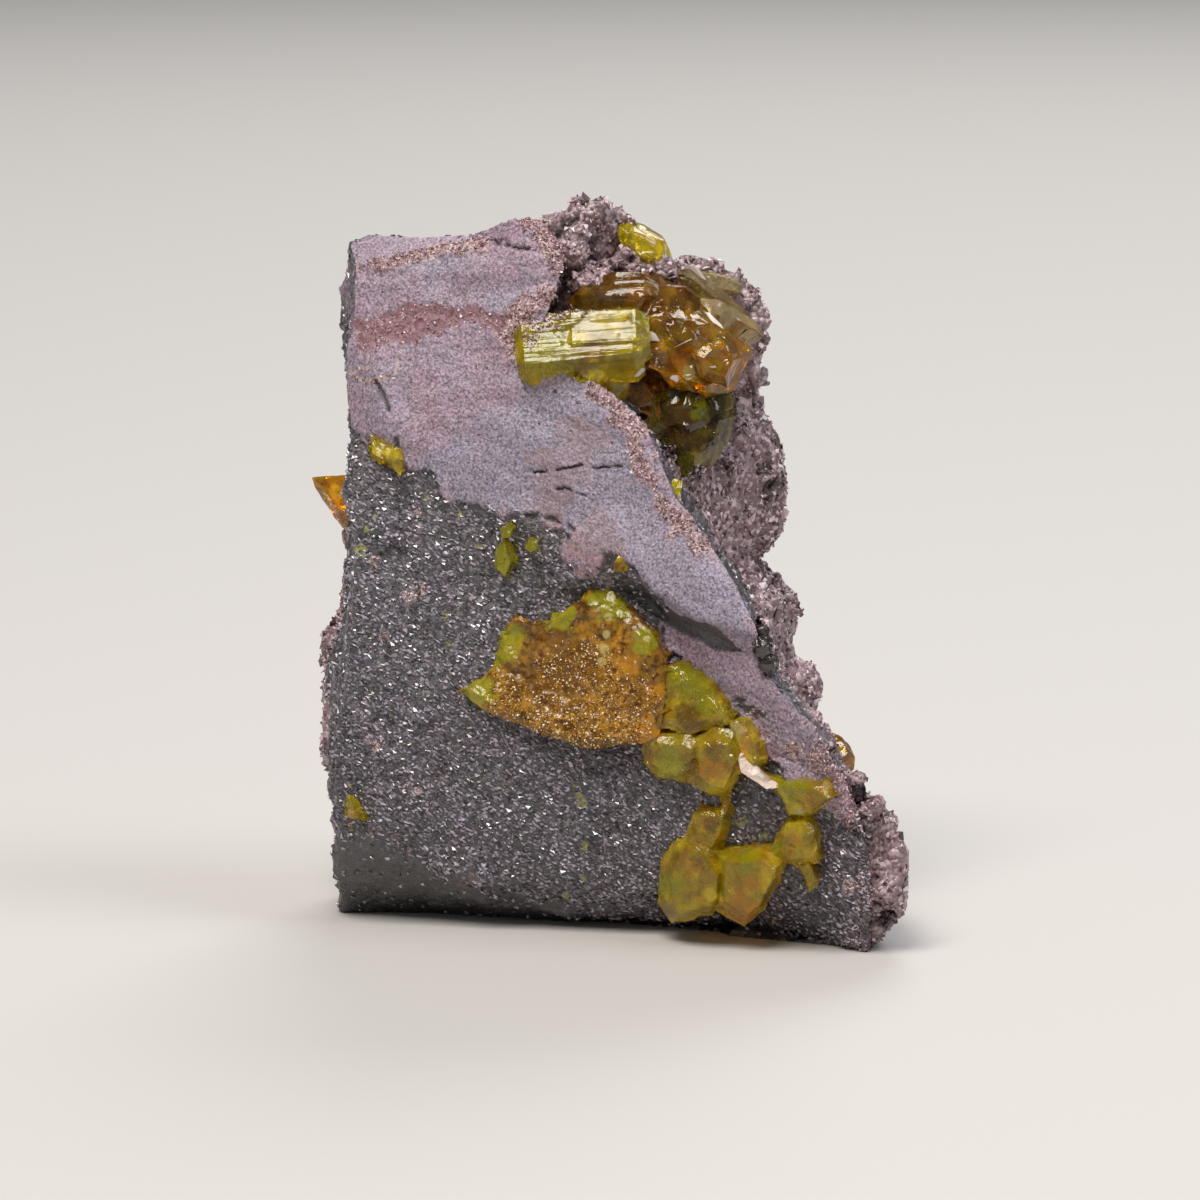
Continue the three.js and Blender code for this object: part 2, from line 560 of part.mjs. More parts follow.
function vugBrownCrystal() {
  const outline = [
    [-2.2, 8.7, 1.9], [-0.6, 7.9, 1.5], [0.8, 7.2, 1.1], [1.95, 6.3, 0.8], [2.3, 7.0, 0.8],
    [2.2, 8.2, 1.0], [1.6, 8.9, 1.3], [0, 8.9, 1.6],
  ];
  return facedCrystal(outline, { inset: 0.45, lift: 0.35, root: 2.2 });
}

function vugTopCrystal() {
  const outline = [
    [0.75, 15.0, 3.5], [0.9, 13.9, 2.9], [1.8, 13.6, 2.9], [3.1, 13.5, 3.5], [2.6, 14.4, 3.8],
    [1.8, 14.9, 3.9], [1.2, 15.1, 3.8],
  ];
  return facedCrystal(outline, { inset: 0.4, lift: 0.5, root: 1.8 });
}

function vugPaleBlades() {
  return join([
    prism([3.3, 13.1, 3.8], [5.7, 11.0, 4.3], 0.8, { flat: 0.45, turn: 0.4, bevel: 0.8 }),
    prism([3.9, 11.9, 3.0], [6.3, 10.5, 4.0], 0.85, { flat: 0.5, turn: 0.9, bevel: 0.7 }),
    prism([3.9, 12.9, 4.6], [5.6, 12.4, 4.6], 0.75, { flat: 0.6, turn: 0.1, bevel: 0.7 }),
  ]);
}

function vugSmallCrystal() {
  const outline = [[2.5, 5.0, -0.8], [2.6, 4.1, -1.2], [3.2, 3.5, -1.6], [3.6, 4.0, -1.4], [3.4, 4.8, -0.9]];
  return facedCrystal(outline, { lift: 0.35, root: 1.6 });
}

function frontPlateCrystal() {
  const outline = [
    [-5.72, -3.6, 0.0], [-4.52, -4.48, -0.6], [-2.4, -5.32, -1.3], [-0.6, -5.92, -1.8], [0, -5.92, -1.9],
    [2.36, -5.64, -2.5], [2.56, -4.0, -2.4], [2.68, -2.48, -2.1], [2.0, -1.2, -1.7], [0.8, -0.08, -1.0],
    [-0.12, 0.32, -0.7], [-1.0, -0.2, -0.7], [-2.2, -0.8, -0.4], [-3.6, -0.68, -0.1], [-4.28, -1.2, 0.1],
    [-4.52, -2.4, 0.1], [-5.28, -3.28, 0.1],
  ];
  return facedCrystal(outline, { inset: 0.12, lift: 0.22, root: 2.2, spread: 0.94 });
}

function sideCrystalCluster() {
  const outlines = [
    [
      [2.85, -2.6, -2.0], [2.85, -4.0, -2.2], [2.62, -5.1, -2.4], [3.6, -5.4, -2.8], [5.1, -5.0, -3.2],
      [5.4, -4.6, -3.2], [4.88, -3.8, -2.8], [4.2, -3.2, -2.5], [3.4, -2.68, -2.2],
    ],
    [
      [2.6, -5.4, -2.3], [1.8, -5.8, -1.9], [1.72, -6.6, -1.8], [2.2, -7.2, -1.9], [3.2, -7.32, -2.3],
      [4.1, -7.0, -2.7], [4.1, -5.6, -2.9], [3.5, -5.3, -2.7],
    ],
    [
      [3.7, -5.5, -2.8], [3.5, -7.2, -2.5], [4.2, -7.9, -2.6], [5.1, -8.0, -2.9], [5.5, -7.2, -3.2],
      [5.9, -6.2, -3.4], [5.4, -5.2, -3.4], [4.6, -5.1, -3.2],
    ],
    [
      [5.1, -4.8, -3.2], [5.5, -6.4, -3.3], [6.2, -7.0, -3.6], [6.56, -6.4, -3.9], [6.4, -5.6, -3.9],
      [5.8, -4.9, -3.7],
    ],
  ];
  return join(outlines.map((outline) => facedCrystal(outline)));
}

function lowerCrystalCluster() {
  const stem = [
    [3.8, -8.1, -2.2], [3.5, -8.8, -2.1], [3.3, -9.9, -2.1], [4.6, -10.3, -2.5], [5.1, -9.4, -2.7],
    [5.3, -8.3, -2.8],
  ];
  const left = [
    [2.9, -9.5, -1.7], [2.4, -10.5, -1.6], [2.32, -12.2, -1.5], [2.88, -12.92, -1.6], [4.48, -12.6, -2.4],
    [4.95, -12.0, -2.6], [5.0, -10.8, -2.9], [4.4, -9.8, -2.6], [3.6, -9.2, -2.1],
  ];
  const right = [
    [4.5, -10.0, -2.7], [4.4, -12.3, -2.4], [5.8, -13.04, -2.7], [6.5, -12.5, -3.0], [7.1, -11.4, -3.3],
    [7.4, -10.4, -3.7], [6.5, -9.9, -3.6], [5.6, -10.1, -3.3],
  ];
  return join([
    facedCrystal(stem, { lift: 0.35 }),
    facedCrystal(left, { inset: 0.32, lift: 0.85, shift: [0.35, 0.1], root: 2.6 }),
    facedCrystal(right, { inset: 0.32, lift: 0.8, shift: [0.1, 0.2], root: 2.8 }),
  ]);
}

function rightCrystalSpray() {
  const upper = [
    [6.5, -7.1, -3.7], [7.3, -8.9, -3.6], [8.5, -8.7, -4.3], [9.6, -7.88, -5.2], [9.0, -7.35, -5.0],
    [7.8, -6.95, -4.3],
  ];
  const middle = [
    [7.2, -8.7, -3.6], [6.9, -10.0, -3.5], [7.6, -10.7, -3.9], [8.72, -10.5, -4.4], [8.6, -9.2, -4.5],
    [8.2, -8.5, -4.2],
  ];
  const spike = [[7.8, -10.3, -3.8], [8.35, -11.7, -4.1], [8.75, -11.4, -4.3], [8.3, -10.2, -4.2]];
  return join([
    facedCrystal(upper, { inset: 0.35, lift: 0.45 }),
    facedCrystal(middle, { inset: 0.35, lift: 0.4 }),
    facedCrystal(spike, { inset: 0.3, lift: 0.2, root: 1.4 }),
  ]);
}

function leftEdgeCrystals() {
  const upper = [
    [-10.76, -7.0, 1.9], [-10.85, -7.8, 1.9], [-10.3, -8.15, 1.1], [-9.8, -7.5, 0.7], [-10.2, -6.9, 0.9],
  ];
  const lower = [
    [-10.4, -7.8, 1.2], [-10.4, -8.9, 1.3], [-9.4, -8.9, 0.6], [-9.7, -8.3, 0.6], [-10.0, -7.7, 0.8],
  ];
  return join([upper, lower].map((outline) => facedCrystal(outline, { lift: 0.3, root: 1.5 })));
}

function leftVeinCrystal() {
  const outline = [
    [-9.75, 6.7, 2.3], [-9.3, 5.9, 1.9], [-8.6, 5.4, 1.4], [-8.0, 4.95, 0.9], [-7.9, 5.6, 0.8],
    [-8.5, 6.3, 1.2], [-9.0, 6.75, 1.8],
  ];
  return facedCrystal(outline, { lift: 0.25, root: 1.8 });
}

// A thin fleck on the face: five-sided, taller than wide, tilted in the view.
function fleck([u, v, y], width, height, tilt) {
  const outline = [];
  for (let corner = 0; corner < 5; corner++) {
    const angle = (corner / 5) * 2 * Math.PI + tilt;
    const swell = 1 + 0.22 * hash(corner, u, v);
    outline.push([u + 0.5 * width * swell * Math.cos(angle), v + 0.5 * height * swell * Math.sin(angle), y]);
  }
  return facedCrystal(outline, { inset: 0.3, lift: 0.5, root: 1.3, spread: 1 });
}

function backLeftCrystal() {
  const outline = [
    [-11.52, 4.9, 8.3], [-11.4, 4.5, 8.1], [-9.7, 2.0, 7.6], [-8.6, 3.0, 7.4], [-9.2, 5.1, 7.8],
  ];
  return facedCrystal(outline, { inset: 0.45, lift: 0.7, root: 1.6, spread: 0.8 });
}

function backRightCrystal() {
  return join([
    prism([6.6, -5.6, 8.2], [9.9, -6.6, 5.6], 1.25, { bevel: 0.7, end: 0.45, turn: 0.3 }),
    prism([6.2, -7.2, 8.6], [9.2, -7.4, 7.2], 0.95, { bevel: 0.7, end: 0.45, turn: 0.7 }),
  ]);
}

function backFootCrystal() {
  return join([
    prism([3.0, -10.3, 8.4], [8.6, -10.4, 6.8], 1.25, { bevel: 0.8, end: 0.4, turn: 0.52 }),
    prism([4.2, -9.0, 9.0], [7.6, -9.8, 8.0], 0.95, { bevel: 0.8, end: 0.4, turn: 0.2 }),
  ]);
}

// Dark grains in a row down the right edge of the stone.
function edgeGrains() {
  const grains = [
    [[6.25, -1.2, -4.3], 0.5], [[6.5, -1.8, -4.15], 0.54], [[6.7, -2.5, -4.0], 0.5],
  ];
  return join(grains.map((grain) => solidOf(lumpGeometry(grain))));
}

// A pale splinter that lies between two groups of crystals, four-sided and tapered.
function paleSplinter() {
  const stations = [
    [[5.6, -6.1, -4.0], 0.13], [[5.9, -6.75, -4.0], 0.25], [[6.5, -7.2, -4.1], 0.2],
    [[7.0, -7.6, -4.3], 0.16], [[7.45, -8.2, -4.5], 0.06],
  ];
  const corners = [[-1, -1], [1, -1], [1, 1], [-1, 1]];
  const rings = stations.map(([place, half]) => {
    const offsets = corners.map(([x, y]) => new THREE.Vector3(x, y, 0.4 * x).multiplyScalar(half));
    return offsets.map((offset) => offset.add(seen(place)));
  });
  return solidOf(loft(rings));
}

// A crystal made larger about its middle, the fence that a later crystal stops at.
function grown(solid) {
  const { min, max } = solid.boundingBox();
  const middle = min.map((low, i) => (low + max[i]) / 2);
  const factor = min.map((low, i) => 1 + (2 * crystalGap) / (max[i] - low));
  const centred = solid.translate(middle.map((m) => -m));
  return largest(centred.scale(factor).translate(middle).add(solid));
}

// Trims each crystal where it meets the rocks and the crystals before it.
function settle(solids, rocks) {
  const fences = [...rocks];
  return Object.entries(solids).map(([name, solid]) => {
    const trimmed = largest(fences.reduce((rest, fence) => rest.subtract(fence), solid));
    fences.push(grown(trimmed));
    return [name, trimmed];
  });
}

const looks = {
  ore: { color: 0x8a7f88, roughness: 0.62, metalness: 0.15 },
  crust: { color: 0x9b7f80, roughness: 0.7, metalness: 0.05 },
  grains: { color: 0x4a2a1c, roughness: 0.35, metalness: 0 },
  lime: { color: 0xc2b022, roughness: 0.16, metalness: 0, transparent: true, opacity: 0.8 },
  amber: { color: 0xb5700f, roughness: 0.18, metalness: 0, transparent: true, opacity: 0.8 },
  pale: { color: 0xd8c9a4, roughness: 0.3, metalness: 0, transparent: true, opacity: 0.8 },
  splinter: { color: 0xe2d2c4, roughness: 0.55, metalness: 0 },
};

const crystalLooks = {
  vug_rear_crystal: "amber",
  vug_amber_crystal: "amber",
  vug_brown_crystal: "amber",
  vug_pale_blades: "pale",
  front_plate_crystal: "amber",
  back_left_crystal: "amber",
  back_right_crystal: "amber",
  back_foot_crystal: "amber",
  edge_grains: "grains",
  pale_splinter: "splinter",
};

function meshOf(name, solid, look) {
  const mesh = new THREE.Mesh(geometryFrom(solid), new THREE.MeshStandardMaterial(looks[look]));
  mesh.name = name;
  return mesh;
}

const rockFences = [stoneFence(), crustSolid(rockGap)];

// Crystals that touch are in one group, in the order in which they stop each other.
const groups = [
  {
    vug_prism_crystal: vugPrismCrystal(),
    vug_rear_crystal: vugRearCrystal(),
    vug_amber_crystal: vugAmberCrystal(),
    vug_olive_crystal: vugOliveCrystal(),
    vug_brown_crystal: vugBrownCrystal(),
    vug_top_crystal: vugTopCrystal(),
    vug_pale_blades: vugPaleBlades(),
    vug_small_crystal: vugSmallCrystal(),
  },
  {
    front_plate_crystal: frontPlateCrystal(),
    side_crystal_cluster: sideCrystalCluster(),
    lower_crystal_cluster: lowerCrystalCluster(),
    right_crystal_spray: rightCrystalSpray(),
    pale_splinter: paleSplinter(),
  },
  {
    left_edge_crystals: leftEdgeCrystals(),
    left_vein_crystal: leftVeinCrystal(),
    fleck_upper: fleck([-3.72, 2.8, -0.05], 0.85, 0.95, 0.3),
    fleck_lower: fleck([-3.9, 1.6, -0.05], 0.9, 1.35, 1.2),
    fleck_right: fleck([-2.75, 2.2, -0.4], 0.9, 0.75, 0.8),
    fleck_middle: fleck([0.7, 1.35, -1.55], 0.7, 0.65, 0.1),
  },
  { back_left_crystal: backLeftCrystal() },
  { back_right_crystal: backRightCrystal() },
  { back_foot_crystal: backFootCrystal() },
  { edge_grains: edgeGrains() },
];
const crystals = groups.flatMap((group) => settle(group, rockFences));

const specimen = new THREE.Group();
specimen.add(meshOf("hematite_matrix", stoneSolid(), "ore"));
specimen.add(meshOf("cavity_crust", largest(crustSolid().subtract(rockFences[0])), "crust"));
for (const [name, solid] of crystals)
  specimen.add(meshOf(name, solid, crystalLooks[name] ?? "lime"));

const box = new THREE.Box3().setFromObject(specimen);
const boxMiddle = box.getCenter(new THREE.Vector3());
specimen.position.set(-boxMiddle.x, -boxMiddle.y, -box.min.z);

export default specimen;
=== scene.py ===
import math

import bmesh
import bpy
import numpy as np
from mathutils import Matrix, Vector, noise
from mathutils.bvhtree import BVHTree


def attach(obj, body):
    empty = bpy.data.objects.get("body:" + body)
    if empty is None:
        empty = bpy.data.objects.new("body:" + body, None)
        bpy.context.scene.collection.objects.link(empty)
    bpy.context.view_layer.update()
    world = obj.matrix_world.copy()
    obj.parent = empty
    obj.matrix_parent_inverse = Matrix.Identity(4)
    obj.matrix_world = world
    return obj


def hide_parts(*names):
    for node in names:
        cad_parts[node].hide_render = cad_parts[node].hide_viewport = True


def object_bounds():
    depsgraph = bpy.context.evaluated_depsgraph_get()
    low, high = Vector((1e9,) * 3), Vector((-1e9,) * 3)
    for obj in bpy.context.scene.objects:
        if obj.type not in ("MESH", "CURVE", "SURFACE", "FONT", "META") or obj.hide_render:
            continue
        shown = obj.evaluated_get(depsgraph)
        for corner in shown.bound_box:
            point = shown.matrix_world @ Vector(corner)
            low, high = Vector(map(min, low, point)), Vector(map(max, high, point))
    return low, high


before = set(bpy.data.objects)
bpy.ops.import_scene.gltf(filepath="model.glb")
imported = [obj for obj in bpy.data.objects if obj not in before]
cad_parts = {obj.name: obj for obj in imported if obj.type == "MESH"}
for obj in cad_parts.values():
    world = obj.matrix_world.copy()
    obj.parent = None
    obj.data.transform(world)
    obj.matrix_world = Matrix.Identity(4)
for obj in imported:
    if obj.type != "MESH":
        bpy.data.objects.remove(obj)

cadBox = [list(corner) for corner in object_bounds()]
boxLow, boxHigh = (np.array(corner) * 1000 for corner in cadBox)   # in millimetres
millimetre = 0.001
draw = np.random.default_rng(7)

picture = {
    "target": (-0.19, -3.23, 13.68),   # the point, in mm, that the middle of the picture looks at
    "distance": 250.0,                 # mm
    "elevation": math.radians(9),
    "fieldWidth": 48.0,                # mm across at the target
    "size": 1200,                      # pixels
}
pictureUp = np.array((0, math.sin(picture["elevation"]), math.cos(picture["elevation"])))
pictureBack = np.array((0, -math.cos(picture["elevation"]), math.sin(picture["elevation"])))


# Small tools: every mesh is worked on in millimetres and turned to metres at the end

def onPicture(points):
    # where each point, in mm, is seen in the picture, in pixels
    away = points - np.array(picture["target"])
    depth = -away @ pictureBack
    zoom = picture["distance"] / (picture["distance"] + depth) * picture["size"] / picture["fieldWidth"]
    middle = picture["size"] / 2
    return np.stack((middle + away[:, 0] * zoom, middle - away @ pictureUp * zoom), axis=1)


def sightThrough(x, y):
    # the line of sight through a pixel of the picture: its start in mm, and its direction
    target = np.array(picture["target"])
    eye = target + pictureBack * picture["distance"]
    pixel = picture["fieldWidth"] / picture["size"]
    middle = picture["size"] / 2
    aim = target + np.array(((x - middle) * pixel, 0, 0)) + pictureUp * (middle - y) * pixel
    return Vector(eye), Vector(aim - eye).normalized()


def smooth(values, low, high):
    # 0 below low, 1 above high, and a soft step between them
    share = np.clip((values - low) / (high - low), 0, 1)
    return share * share * (3 - 2 * share)


def unit(vectors):
    return vectors / (np.linalg.norm(vectors, axis=-1, keepdims=True) + 1e-12)


def distanceToLine(spots, corners):
    nearest = np.full(len(spots), 1e9)
    for start, end in zip(corners[:-1], corners[1:]):
        start = np.array(start, float)
        step = np.array(end, float) - start
        share = np.clip((spots - start) @ step / (step @ step), 0, 1)
        nearest = np.minimum(nearest, np.linalg.norm(spots - start - share[:, None] * step, axis=1))
    return nearest


def insideOutline(spots, corners):
    # how deep each spot lies inside a closed outline, in pixels, and below 0 outside it
    closed = list(corners) + [corners[0]]
    inside = np.zeros(len(spots), bool)
    for (x0, y0), (x1, y1) in zip(closed[:-1], closed[1:]):
        if y0 == y1:
            continue
        crosses = (spots[:, 1] > min(y0, y1)) & (spots[:, 1] <= max(y0, y1))
        at = x0 + (spots[:, 1] - y0) / (y1 - y0) * (x1 - x0)
        inside ^= crosses & (spots[:, 0] < at)
    depth = distanceToLine(spots, closed)
    return np.where(inside, depth, -depth)


def nearSpots(spots, places, jitter):
    # 1 inside any of the round places (x, y, radius in pixels), with an uneven border
    mask = np.zeros(len(spots))
    for x, y, radius in places:
        away = np.hypot(spots[:, 0] - x, spots[:, 1] - y) / radius + jitter
        mask = np.maximum(mask, 1 - smooth(away, 0.6, 1.15))
    return mask


def softNoise(points, grain, octaves=3, shift=0.0):
    # lumps of that size in mm, from about -1 to 1
    offset = Vector((17.3, 5.1, 9.7)) * shift
    return np.array([noise.fractal(Vector(p) / grain + offset, 1.0, 2.0, octaves) for p in points])


def cellLumps(points, grain, shift=0.0):
    # rounded lumps with sharp valleys between them, from 0 in a valley to about 1 on top
    offset = Vector((3.1, 7.9, 1.3)) * shift
    out = np.empty(len(points))
    for i, p in enumerate(points):
        near = noise.voronoi(Vector(p) / grain + offset)[0]
        out[i] = near[1] - near[0]
    return out


def brokenFacets(points, grain, shift=0.0):
    # each cell is a small plane that leans its own way, as on a chipped surface
    offset = Vector((9.1, 2.9, 6.3)) * shift
    out = np.empty(len(points))
    for i, p in enumerate(points):
        spot = Vector(p) / grain + offset
        middle = noise.voronoi(spot)[1][0]
        lean = noise.cell_vector(middle * 7.31) - Vector((0.5, 0.5, 0.5))
        out[i] = (spot - middle).dot(lean) * 1.6 + lean.x * 0.5
    return out


def coordinates(mesh):
    values = np.empty(len(mesh.vertices) * 3, np.float32)
    mesh.vertices.foreach_get("co", values)
    return values.reshape(-1, 3).astype(float)


def normalsOf(mesh):
    values = np.empty(len(mesh.vertices) * 3, np.float32)
    mesh.vertex_normals.foreach_get("vector", values)
    return values.reshape(-1, 3).astype(float)


def setCoordinates(mesh, points):
    # never out of the CAD box
    points = np.clip(points, boxLow, boxHigh)
    mesh.vertices.foreach_set("co", points.astype(np.float32).ravel())
    mesh.update()


def push(mesh, move):
    # moves each point along its normal
    setCoordinates(mesh, coordinates(mesh) + normalsOf(mesh) * move[:, None])


def addMask(mesh, name, values):
    mask = mesh.attributes.new(name, "FLOAT", "POINT")
    mask.data.foreach_set("value", np.clip(values, 0, 1).astype(np.float32))


def addPlaces(mesh, name, values):
    places = mesh.attributes.new(name, "FLOAT_VECTOR", "POINT")
    places.data.foreach_set("vector", values.astype(np.float32).ravel())


def copyOf(nodeName):
    # a welded copy of a CAD solid's mesh, in mm
    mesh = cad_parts[nodeName].data.copy()
    mesh.transform(Matrix.Scale(1000, 4))
    work = bmesh.new()
    work.from_mesh(mesh)
    bmesh.ops.remove_doubles(work, verts=work.verts, dist=0.001)
    work.to_mesh(mesh)
    work.free()
    mesh.materials.clear()
    for extra in [a.name for a in mesh.attributes if not a.is_required and not a.is_internal]:
        mesh.attributes.remove(mesh.attributes[extra])
    return mesh


def evenSkin(mesh, voxel):
    # the same form with small even faces and slightly rounded edges
    holder = bpy.data.objects.new("holder", mesh)
    bpy.context.scene.collection.objects.link(holder)
    skin = holder.modifiers.new("even", "REMESH")
    skin.mode = "VOXEL"
    skin.voxel_size = voxel
    bpy.context.view_layer.update()
    made = bpy.data.meshes.new_from_object(holder.evaluated_get(bpy.context.evaluated_depsgraph_get()))
    bpy.data.objects.remove(holder)
    return made


def softenFlats(work, rounds, creaseAngle):
    # evens out the flat faces between creases
    crease = math.radians(creaseAngle)
    flat = [v for v in work.verts if all(e.calc_face_angle(0.0) < crease for e in v.link_edges)]
    for _ in range(rounds):
        bmesh.ops.smooth_vert(work, verts=flat, factor=0.5, use_axis_x=True, use_axis_y=True,
                              use_axis_z=True)


def crispSkin(mesh, edgeLimit, soften=0, creaseAngle=30):
    # halves edges until none is longer than edgeLimit(facing) mm; creases stay sharp
    work = bmesh.new()
    work.from_mesh(mesh)
    bmesh.ops.triangulate(work, faces=work.faces)
    for level in range(7):
        work.normal_update()
        long = [e for e in work.edges
                if e.calc_length() > edgeLimit(sum(f.normal.y for f in e.link_faces) / 2)]
        if not long:
            break
        bmesh.ops.subdivide_edges(work, edges=long, cuts=1)
        bmesh.ops.triangulate(work, faces=[f for f in work.faces if len(f.verts) > 3])
        if level == 1 and soften:
            softenFlats(work, soften, creaseAngle)
    work.to_mesh(mesh)
    work.free()
    return mesh


def treeOf(mesh):
    points = [v.co.copy() for v in mesh.vertices]
    return BVHTree.FromPolygons(points, [tuple(p.vertices) for p in mesh.polygons])


def nearestOf(trees, point, reach):
    # nearest surface point within reach, its normal and its distance, or None
    best = None
    for tree in trees:
        place, normal, _, distance = tree.find_nearest(point, reach)
        if place is not None and (best is None or distance < best[2]):
            best = (place, normal, distance)
    return best


def closeness(points, tree, reach):
    # 1 on the tree's surface, 0 beyond reach
    out = np.zeros(len(points))
    for i, p in enumerate(points):
        distance = tree.find_nearest(Vector(p), reach)[3]
        if distance is not None:
            out[i] = 1 - distance / reach
    return out


def pieceFrom(mesh, name, material, nodes=()):
    mesh.transform(Matrix.Scale(millimetre, 4))
    mesh.name = name
    mesh.materials.append(material)
    piece = bpy.data.objects.new(name, mesh)
    bpy.context.scene.collection.objects.link(piece)
    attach(piece, "root")
    if nodes:
        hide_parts(*nodes)
    return piece


# Material tools

def linear(hexColour):
    values = [int(hexColour[i:i + 2], 16) / 255 for i in (1, 3, 5)]
    return [v / 12.92 if v <= 0.04045 else ((v + 0.055) / 1.055) ** 2.4 for v in values] + [1.0]


def addNode(tree, kind, inputs=None, **settings):
    # one node with its settings; an input given a socket, or a node for its first output, is linked to it
    node = tree.nodes.new("ShaderNode" + kind)
    for name, value in settings.items():
        setattr(node, name, value)
    for name, value in (inputs or {}).items():
        if isinstance(value, bpy.types.Node):
            value = value.outputs[0]
        if isinstance(value, bpy.types.NodeSocket):
            tree.links.new(value, node.inputs[name])
        else:
            node.inputs[name].default_value = value
    return node


def newMaterial(name):
    material = bpy.data.materials.new(name)
    material.use_nodes = True
    tree = material.node_tree
    tree.nodes.clear()
    return material, tree


def perMetre(grain):
    # texture scale for a pattern whose parts are that many mm wide
    return 1000 / grain


def raggedShare(tree, place, maskName, grain, raggedness, strength=1.0):
    # a mask from the mesh, with its border broken up by grains of that size in mm
    mask = addNode(tree, "Attribute", attribute_name=maskName).outputs["Fac"]
    grains = addNode(tree, "TexNoise", {"Vector": place, "Scale": perMetre(grain), "Detail": 4.0,
                                        "Roughness": 0.6})
    mixed = addNode(tree, "Math", {0: grains, 1: raggedness, 2: mask}, operation="MULTIPLY_ADD")
    low = 0.5 + raggedness * 0.5
    return addNode(tree, "MapRange", {"Value": mixed, "From Min": low - 0.3, "From Max": low + 0.35,
                                      "To Max": strength})


# The ore: dense dark hematite, broken by a blow, with a smooth upper face and a coarse lower one

oreLook = {
    "frontEdge": 0.14,        # mm, longest edge of a face on the front
    "sideEdge": 0.34,         # mm, on the sides and the bottom
    "hiddenEdge": 1.0,        # mm, where the crust covers it
    "swell": 0.1,             # mm, closes part of the gap to the crust
    # width and height of each kind of relief, in mm
    "undulation": (2.4, 0.08),
    "chips": (2.1, 0.2),
    "smallChips": (0.8, 0.07),
    "layers": (2.6, 0.03),    # thin broken layers on the smooth face
    "coarseGrain": (0.3, 0.035),
    "veinGrain": (0.22, 0.1),
    "redGrain": (0.25, 0.07),
    "layer": 0.16,            # mm, by which the smooth layer stands over the coarse face
    "crackDepth": 0.16,       # mm
    "grainSize": (0.15, 0.08, 0.085),   # mm, half length, width and height
    "grainPitch": (0.215, 0.13),   # mm, along and across the rows of grains on the coarse face
    "grainLean": math.radians(30), # the rows run down to the right
    "sideGrains": 5000,
}

# Outlines and lines on the front, in pixels of the picture
coarseOutline = [
    (300, 440), (352, 430), (385, 452), (402, 464), (430, 474), (447, 500), (500, 512), (556, 522),
    (570, 536), (556, 560), (585, 576), (612, 553), (640, 574), (668, 606), (661, 640), (684, 660),
    (704, 678), (724, 702), (745, 738), (768, 760), (800, 792), (850, 825), (900, 840), (935, 860),
    (935, 970), (330, 970), (290, 700),
]
bluishOutline = [
    (575, 385), (520, 400), (470, 430), (430, 455), (404, 470), (430, 474), (447, 500), (500, 512),
    (556, 522), (600, 545), (668, 602), (745, 640), (740, 600), (700, 549), (655, 489), (633, 435),
    (594, 387),
]
# a smoother band along the bottom with few grains, also painted darker as shade where the face turns under
bareOutline = [
    (300, 835), (360, 838), (420, 858), (470, 880), (560, 905), (640, 925), (640, 960), (300, 960),
]
redBand = [
    (356, 319), (400, 309), (440, 303), (480, 310), (512, 316), (532, 345), (514, 354), (495, 333),
    (468, 324), (440, 334), (400, 346), (372, 353), (354, 357),
]
# painted shadow under the ledge, on a step that faces down
darkBand = [
    (604, 556), (622, 556), (648, 580), (668, 602), (692, 615), (718, 627), (745, 646), (738, 652),
    (716, 648), (698, 637), (678, 628), (660, 618), (640, 606), (616, 590),
]
smoothPatch = [
    (663, 619), (690, 628), (717, 648), (742, 652), (744, 661), (737, 702), (716, 692), (699, 669),
    (667, 648),
]
# painted shade in a hollow
darkHollow = [(742, 738), (762, 745), (785, 775), (780, 815), (755, 822), (728, 812), (726, 775)]
paleFlakeEdge = [(399, 362), (396, 374), (378, 381), (362, 378), (354, 372), (372, 366)]
pinkVeins = {
    "top": ([(350, 269), (390, 266), (420, 259), (450, 252), (485, 246)], 5),
    "knob": ([(534, 220), (548, 240), (560, 262), (572, 285), (586, 300)], 13),
    "prism": ([(546, 296), (522, 316), (510, 330), (522, 346)], 12),
    "rim": ([(594, 387), (618, 408), (633, 435), (642, 465), (655, 489), (675, 513), (700, 549)], 9),
    "toe": ([(800, 684), (830, 724), (862, 775), (890, 806), (908, 846), (912, 880), (905, 925)], 20),
}
# cracks are cut as shallow grooves and painted dark as the shade in them; the ledge, pit and toe lines are
# painted shadow
cracks = {
    "upper": ([(525, 472), (552, 471), (582, 465), (597, 468), (625, 466)], 1.3),
    "middle": ([(546, 492), (567, 487), (585, 495), (597, 497)], 1.3),
    "ledge": ([(515, 517), (540, 515), (558, 519), (574, 529)], 2.6),
    "top": ([(498, 246), (515, 248), (537, 251)], 1.3),
    "patch": ([(664, 628), (667, 648), (684, 659), (702, 671), (720, 690)], 1.6),
    "pit": ([(742, 700), (762, 714)], 5.5),
    "toe": ([(840, 822), (862, 832), (878, 843)], 7),
    "left": ([(378, 381), (387, 402), (396, 435), (400, 456)], 1.8),
}
paleSpots = [
    (757, 714, 8), (796, 745, 11), (815, 757, 7), (417, 513, 5), (420, 529, 6), (373, 561, 5),
    (410, 597, 7), (424, 589, 6), (384, 636, 6), (368, 736, 6), (377, 744, 6), (408, 784, 5),
    (418, 790, 4), (366, 700, 4), (850, 885, 7),
]
limeSpots = [
    (426, 498, 5), (375, 517, 5), (369, 529, 4), (361, 550, 6), (445, 615, 4), (450, 642, 5),
    (430, 630, 3), (459, 513, 4), (576, 786, 4), (580, 794, 5), (583, 803, 5), (584, 845, 5),
    (584, 878, 5), (568, 893, 5), (480, 545, 4), (742, 822, 6), (763, 835, 5),
]
rustSpots = [
    (585, 440, 34), (560, 500, 26), (600, 545, 30), (375, 829, 8), (407, 849, 6), (440, 768, 4),
    (509, 784, 5), (560, 470, 30), (470, 880, 10), (460, 700, 4), (395, 834, 6), (520, 345, 16),
]


